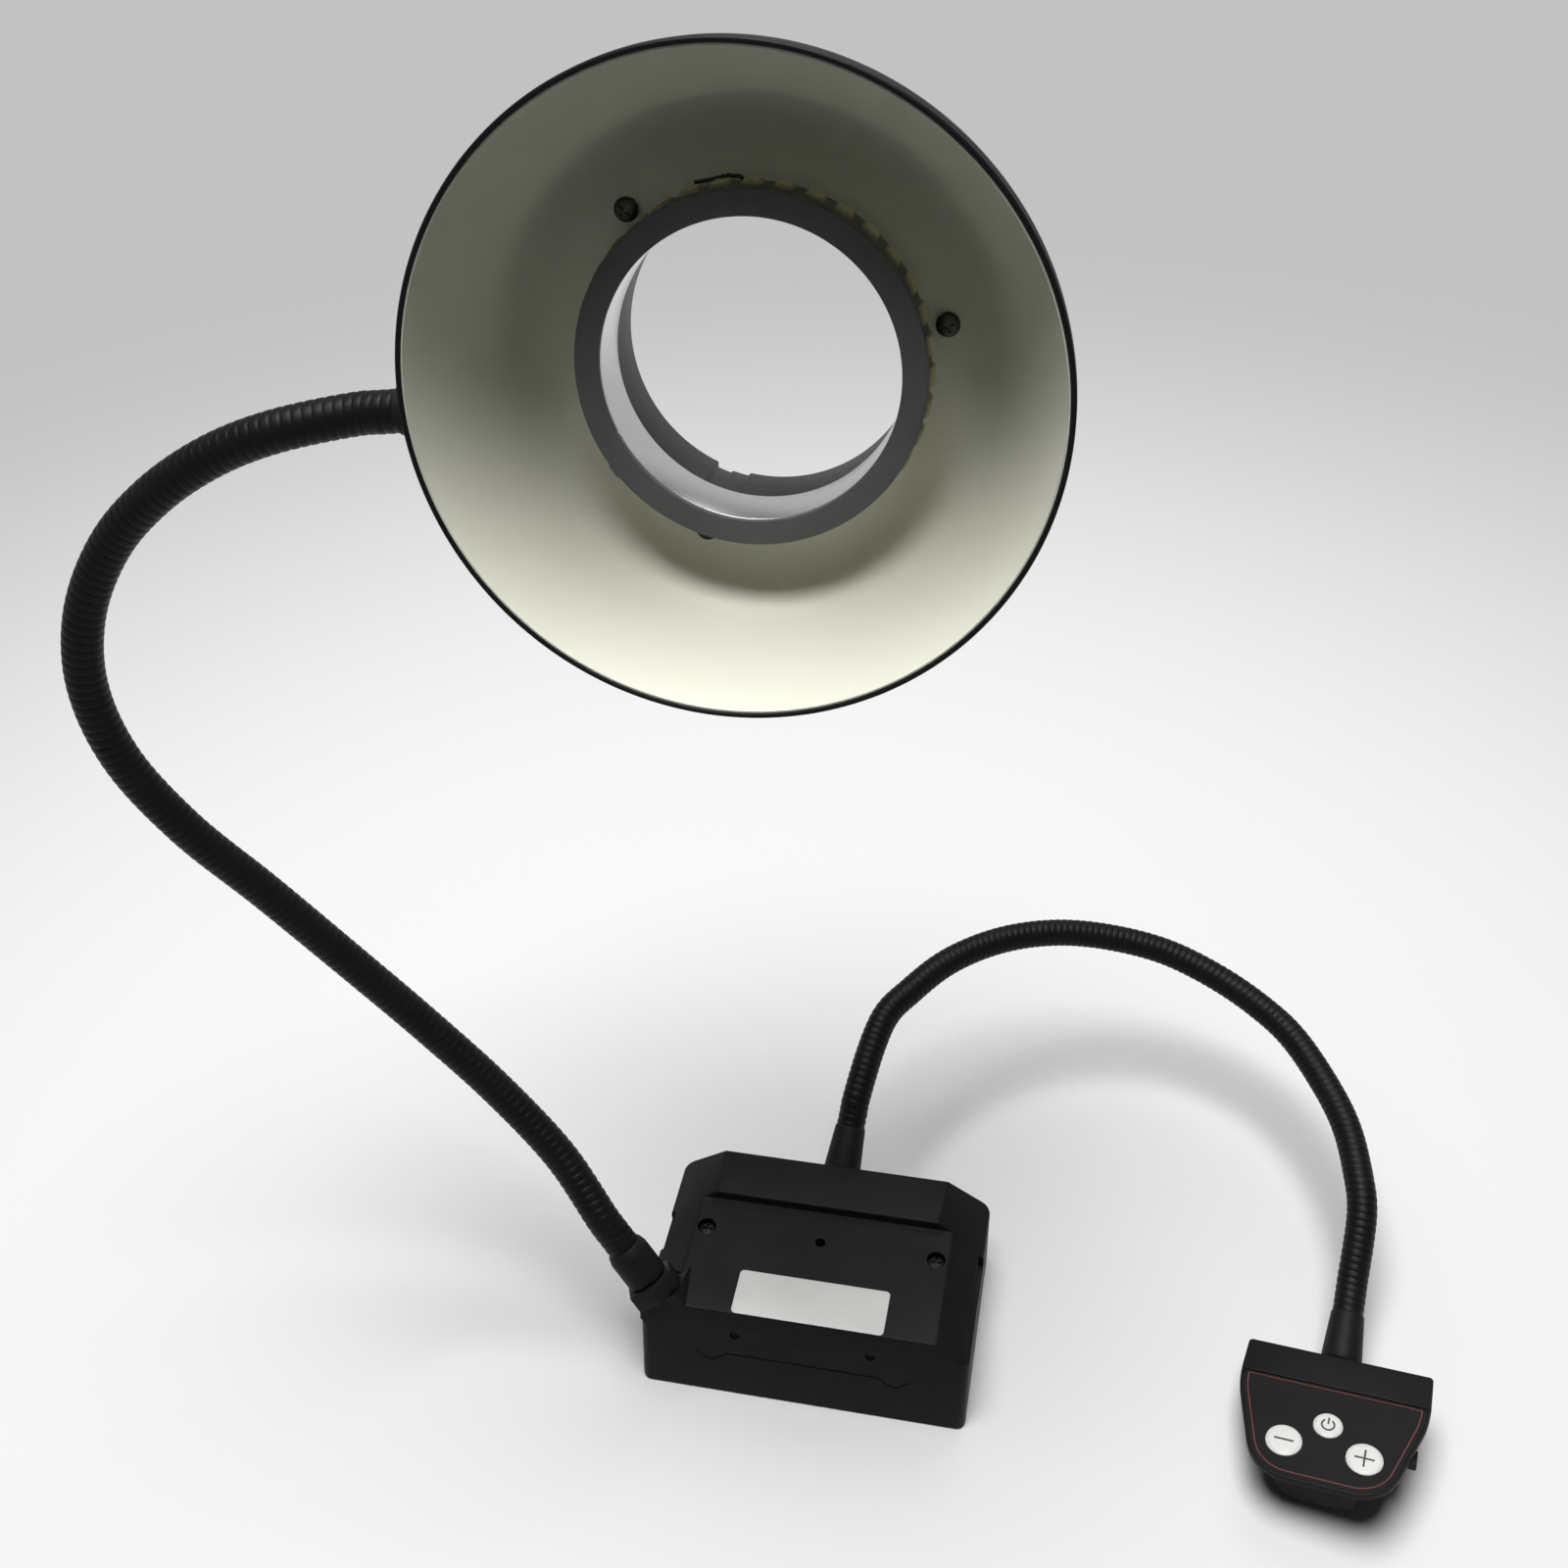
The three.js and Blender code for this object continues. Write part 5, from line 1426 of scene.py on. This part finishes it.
        paint("keypad_board", BOARD)


class Studio:
    """The camera, the lights and the floor."""

    @staticmethod
    def camera() -> None:
        """Sets the camera at the photograph's viewing angle."""
        data = bpy.data.cameras.new("camera")
        data.sensor_width = 36
        data.lens = 40.21
        camera = bpy.data.objects.new("camera", data)
        right, up = Vector((0.98016, 0.19602, -0.02936)), Vector((-0.1016, 0.62409, 0.77472))
        turn = Matrix((right, up, right.cross(up))).transposed().to_4x4()
        camera.matrix_world = Matrix.Translation((0.0634, -0.3034, 0.46)) @ turn
        bpy.context.scene.collection.objects.link(camera)
        bpy.context.scene.camera = camera
        bpy.context.scene.view_settings.view_transform = "Standard"

    @staticmethod
    def lamp(name: str, spot: Sequence[float], size: float, power: float) -> None:
        """Adds a soft lamp that points at the object.

        Args:
            name: Its name.
            spot: Where it hangs.
            size: How wide it is.
            power: Its power in watts.
        """
        data = bpy.data.lights.new(name, "AREA")
        data.shape = "DISK"
        data.size = size
        data.energy = power
        lamp = bpy.data.objects.new(name, data)
        lamp.matrix_world = aimed(Vector(spot), Vector(spot) - Vector((0, 0.02, 0.12)))
        bpy.context.scene.collection.objects.link(lamp)

    @staticmethod
    def seen(nodes: bpy.types.Nodes, links: bpy.types.NodeLinks) -> bpy.types.NodeSocket:
        """Tells whether a place is looked at or mirrored, and not only gives light.

        Args:
            nodes: The nodes of the material or world.
            links: Their links.

        Returns:
            A value of one for the rays of the camera, of gloss and of glass.
        """
        path = add_node(nodes, "ShaderNodeLightPath")
        seen = path.outputs["Is Camera Ray"]
        for ray in ("Is Glossy Ray", "Is Transmission Ray"):
            either = add_node(nodes, "ShaderNodeMath", operation="MAXIMUM")
            links.new(seen, either.inputs[0])
            links.new(path.outputs[ray], either.inputs[1])
            seen = either.outputs["Value"]
        return seen

    @staticmethod
    def sky() -> None:
        """Makes the world: plain for light, pale where it is seen or mirrored."""
        world = bpy.data.worlds.new("studio")
        world.use_nodes = True
        nodes, links = world.node_tree.nodes, world.node_tree.links
        add = partial(add_node, nodes)
        seen = Studio.seen(nodes, links)
        split = add("ShaderNodeSeparateXYZ")
        links.new(add("ShaderNodeTexCoord").outputs["Generated"], split.inputs[0])
        height = add("ShaderNodeMapRange", interpolation_type="SMOOTHSTEP", From_Min=SKY_LOW,
                     From_Max=SKY_HIGH, To_Min=BACKDROP, To_Max=SKY_TOP)
        links.new(split.outputs["Z"], height.inputs["Value"])
        strength = add("ShaderNodeMapRange", To_Min=SKY_LIGHT)
        links.new(seen, strength.inputs["Value"])
        links.new(height.outputs["Result"], strength.inputs["To Max"])
        links.new(strength.outputs["Result"], nodes["Background"].inputs["Strength"])
        nodes["Background"].inputs["Color"].default_value = (1, 1, 1, 1)
        bpy.context.scene.world = world

    @staticmethod
    def floor() -> None:
        """Makes the plain pale floor, which turns into the backdrop's grey further off."""
        bm = bmesh.new()
        bmesh.ops.create_grid(bm, x_segments=1, y_segments=1, size=FLOOR_REACH)
        mesh = bpy.data.meshes.new("floor")
        bm.to_mesh(mesh)
        bm.free()
        floor = bpy.data.objects.new("floor", mesh)
        floor.location.z = -FLOOR_GAP
        material = bpy.data.materials.new("floor_pale")
        material.use_nodes = True
        nodes, links = material.node_tree.nodes, material.node_tree.links
        add = partial(add_node, nodes)
        shader = nodes["Principled BSDF"]
        shader.inputs["Roughness"].default_value = 0.7
        shader.inputs["Specular IOR Level"].default_value = 0.0
        shader.inputs["Emission Color"].default_value = (1, 1, 1, 1)
        seen = Studio.seen(nodes, links)
        tone = add("ShaderNodeMix", data_type="RGBA")
        tone.inputs["A"].default_value = FLOOR_LIGHT
        tone.inputs["B"].default_value = FLOOR_SEEN
        links.new(seen, tone.inputs["Factor"])
        spread = add("ShaderNodeVectorMath", operation="LENGTH")
        links.new(add("ShaderNodeTexCoord").outputs["Object"], spread.inputs[0])
        far = add("ShaderNodeMapRange", interpolation_type="SMOOTHSTEP", From_Min=FADE_START,
                  From_Max=FADE_END)
        links.new(spread.outputs["Value"], far.inputs["Value"])
        links.new(seen, far.inputs["To Max"])
        fade = add("ShaderNodeMix", data_type="RGBA")
        fade.inputs["B"].default_value = (0, 0, 0, 1)
        links.new(far.outputs["Result"], fade.inputs["Factor"])
        links.new(tone.outputs["Result"], fade.inputs["A"])
        links.new(fade.outputs["Result"], shader.inputs["Base Color"])
        glow = add("ShaderNodeMath", operation="MULTIPLY")
        glow.inputs[1].default_value = BACKDROP
        links.new(far.outputs["Result"], glow.inputs[0])
        links.new(glow.outputs["Value"], shader.inputs["Emission Strength"])
        mesh.materials.append(material)
        bpy.context.scene.collection.objects.link(floor)

    def build(self) -> None:
        """Sets up the studio."""
        self.camera()
        self.lamp("key_lamp", (-0.12, 0.03, 1.7), 1.1, 37.0)
        self.lamp("far_lamp", (0.3, 1.6, 1.9), 1.4, 9.0)
        self.sky()
        self.floor()


def main() -> None:
    """Builds the whole scene over the frame."""
    logging.basicConfig(level=logging.INFO, format="%(name)s %(message)s")
    Studio().build()
    ControlBox().build()
    build_fittings()
    long_arm().build()
    short_arm().build()
    Hood().build()
    Keypad().build()


if __name__ == "__main__":
    main()
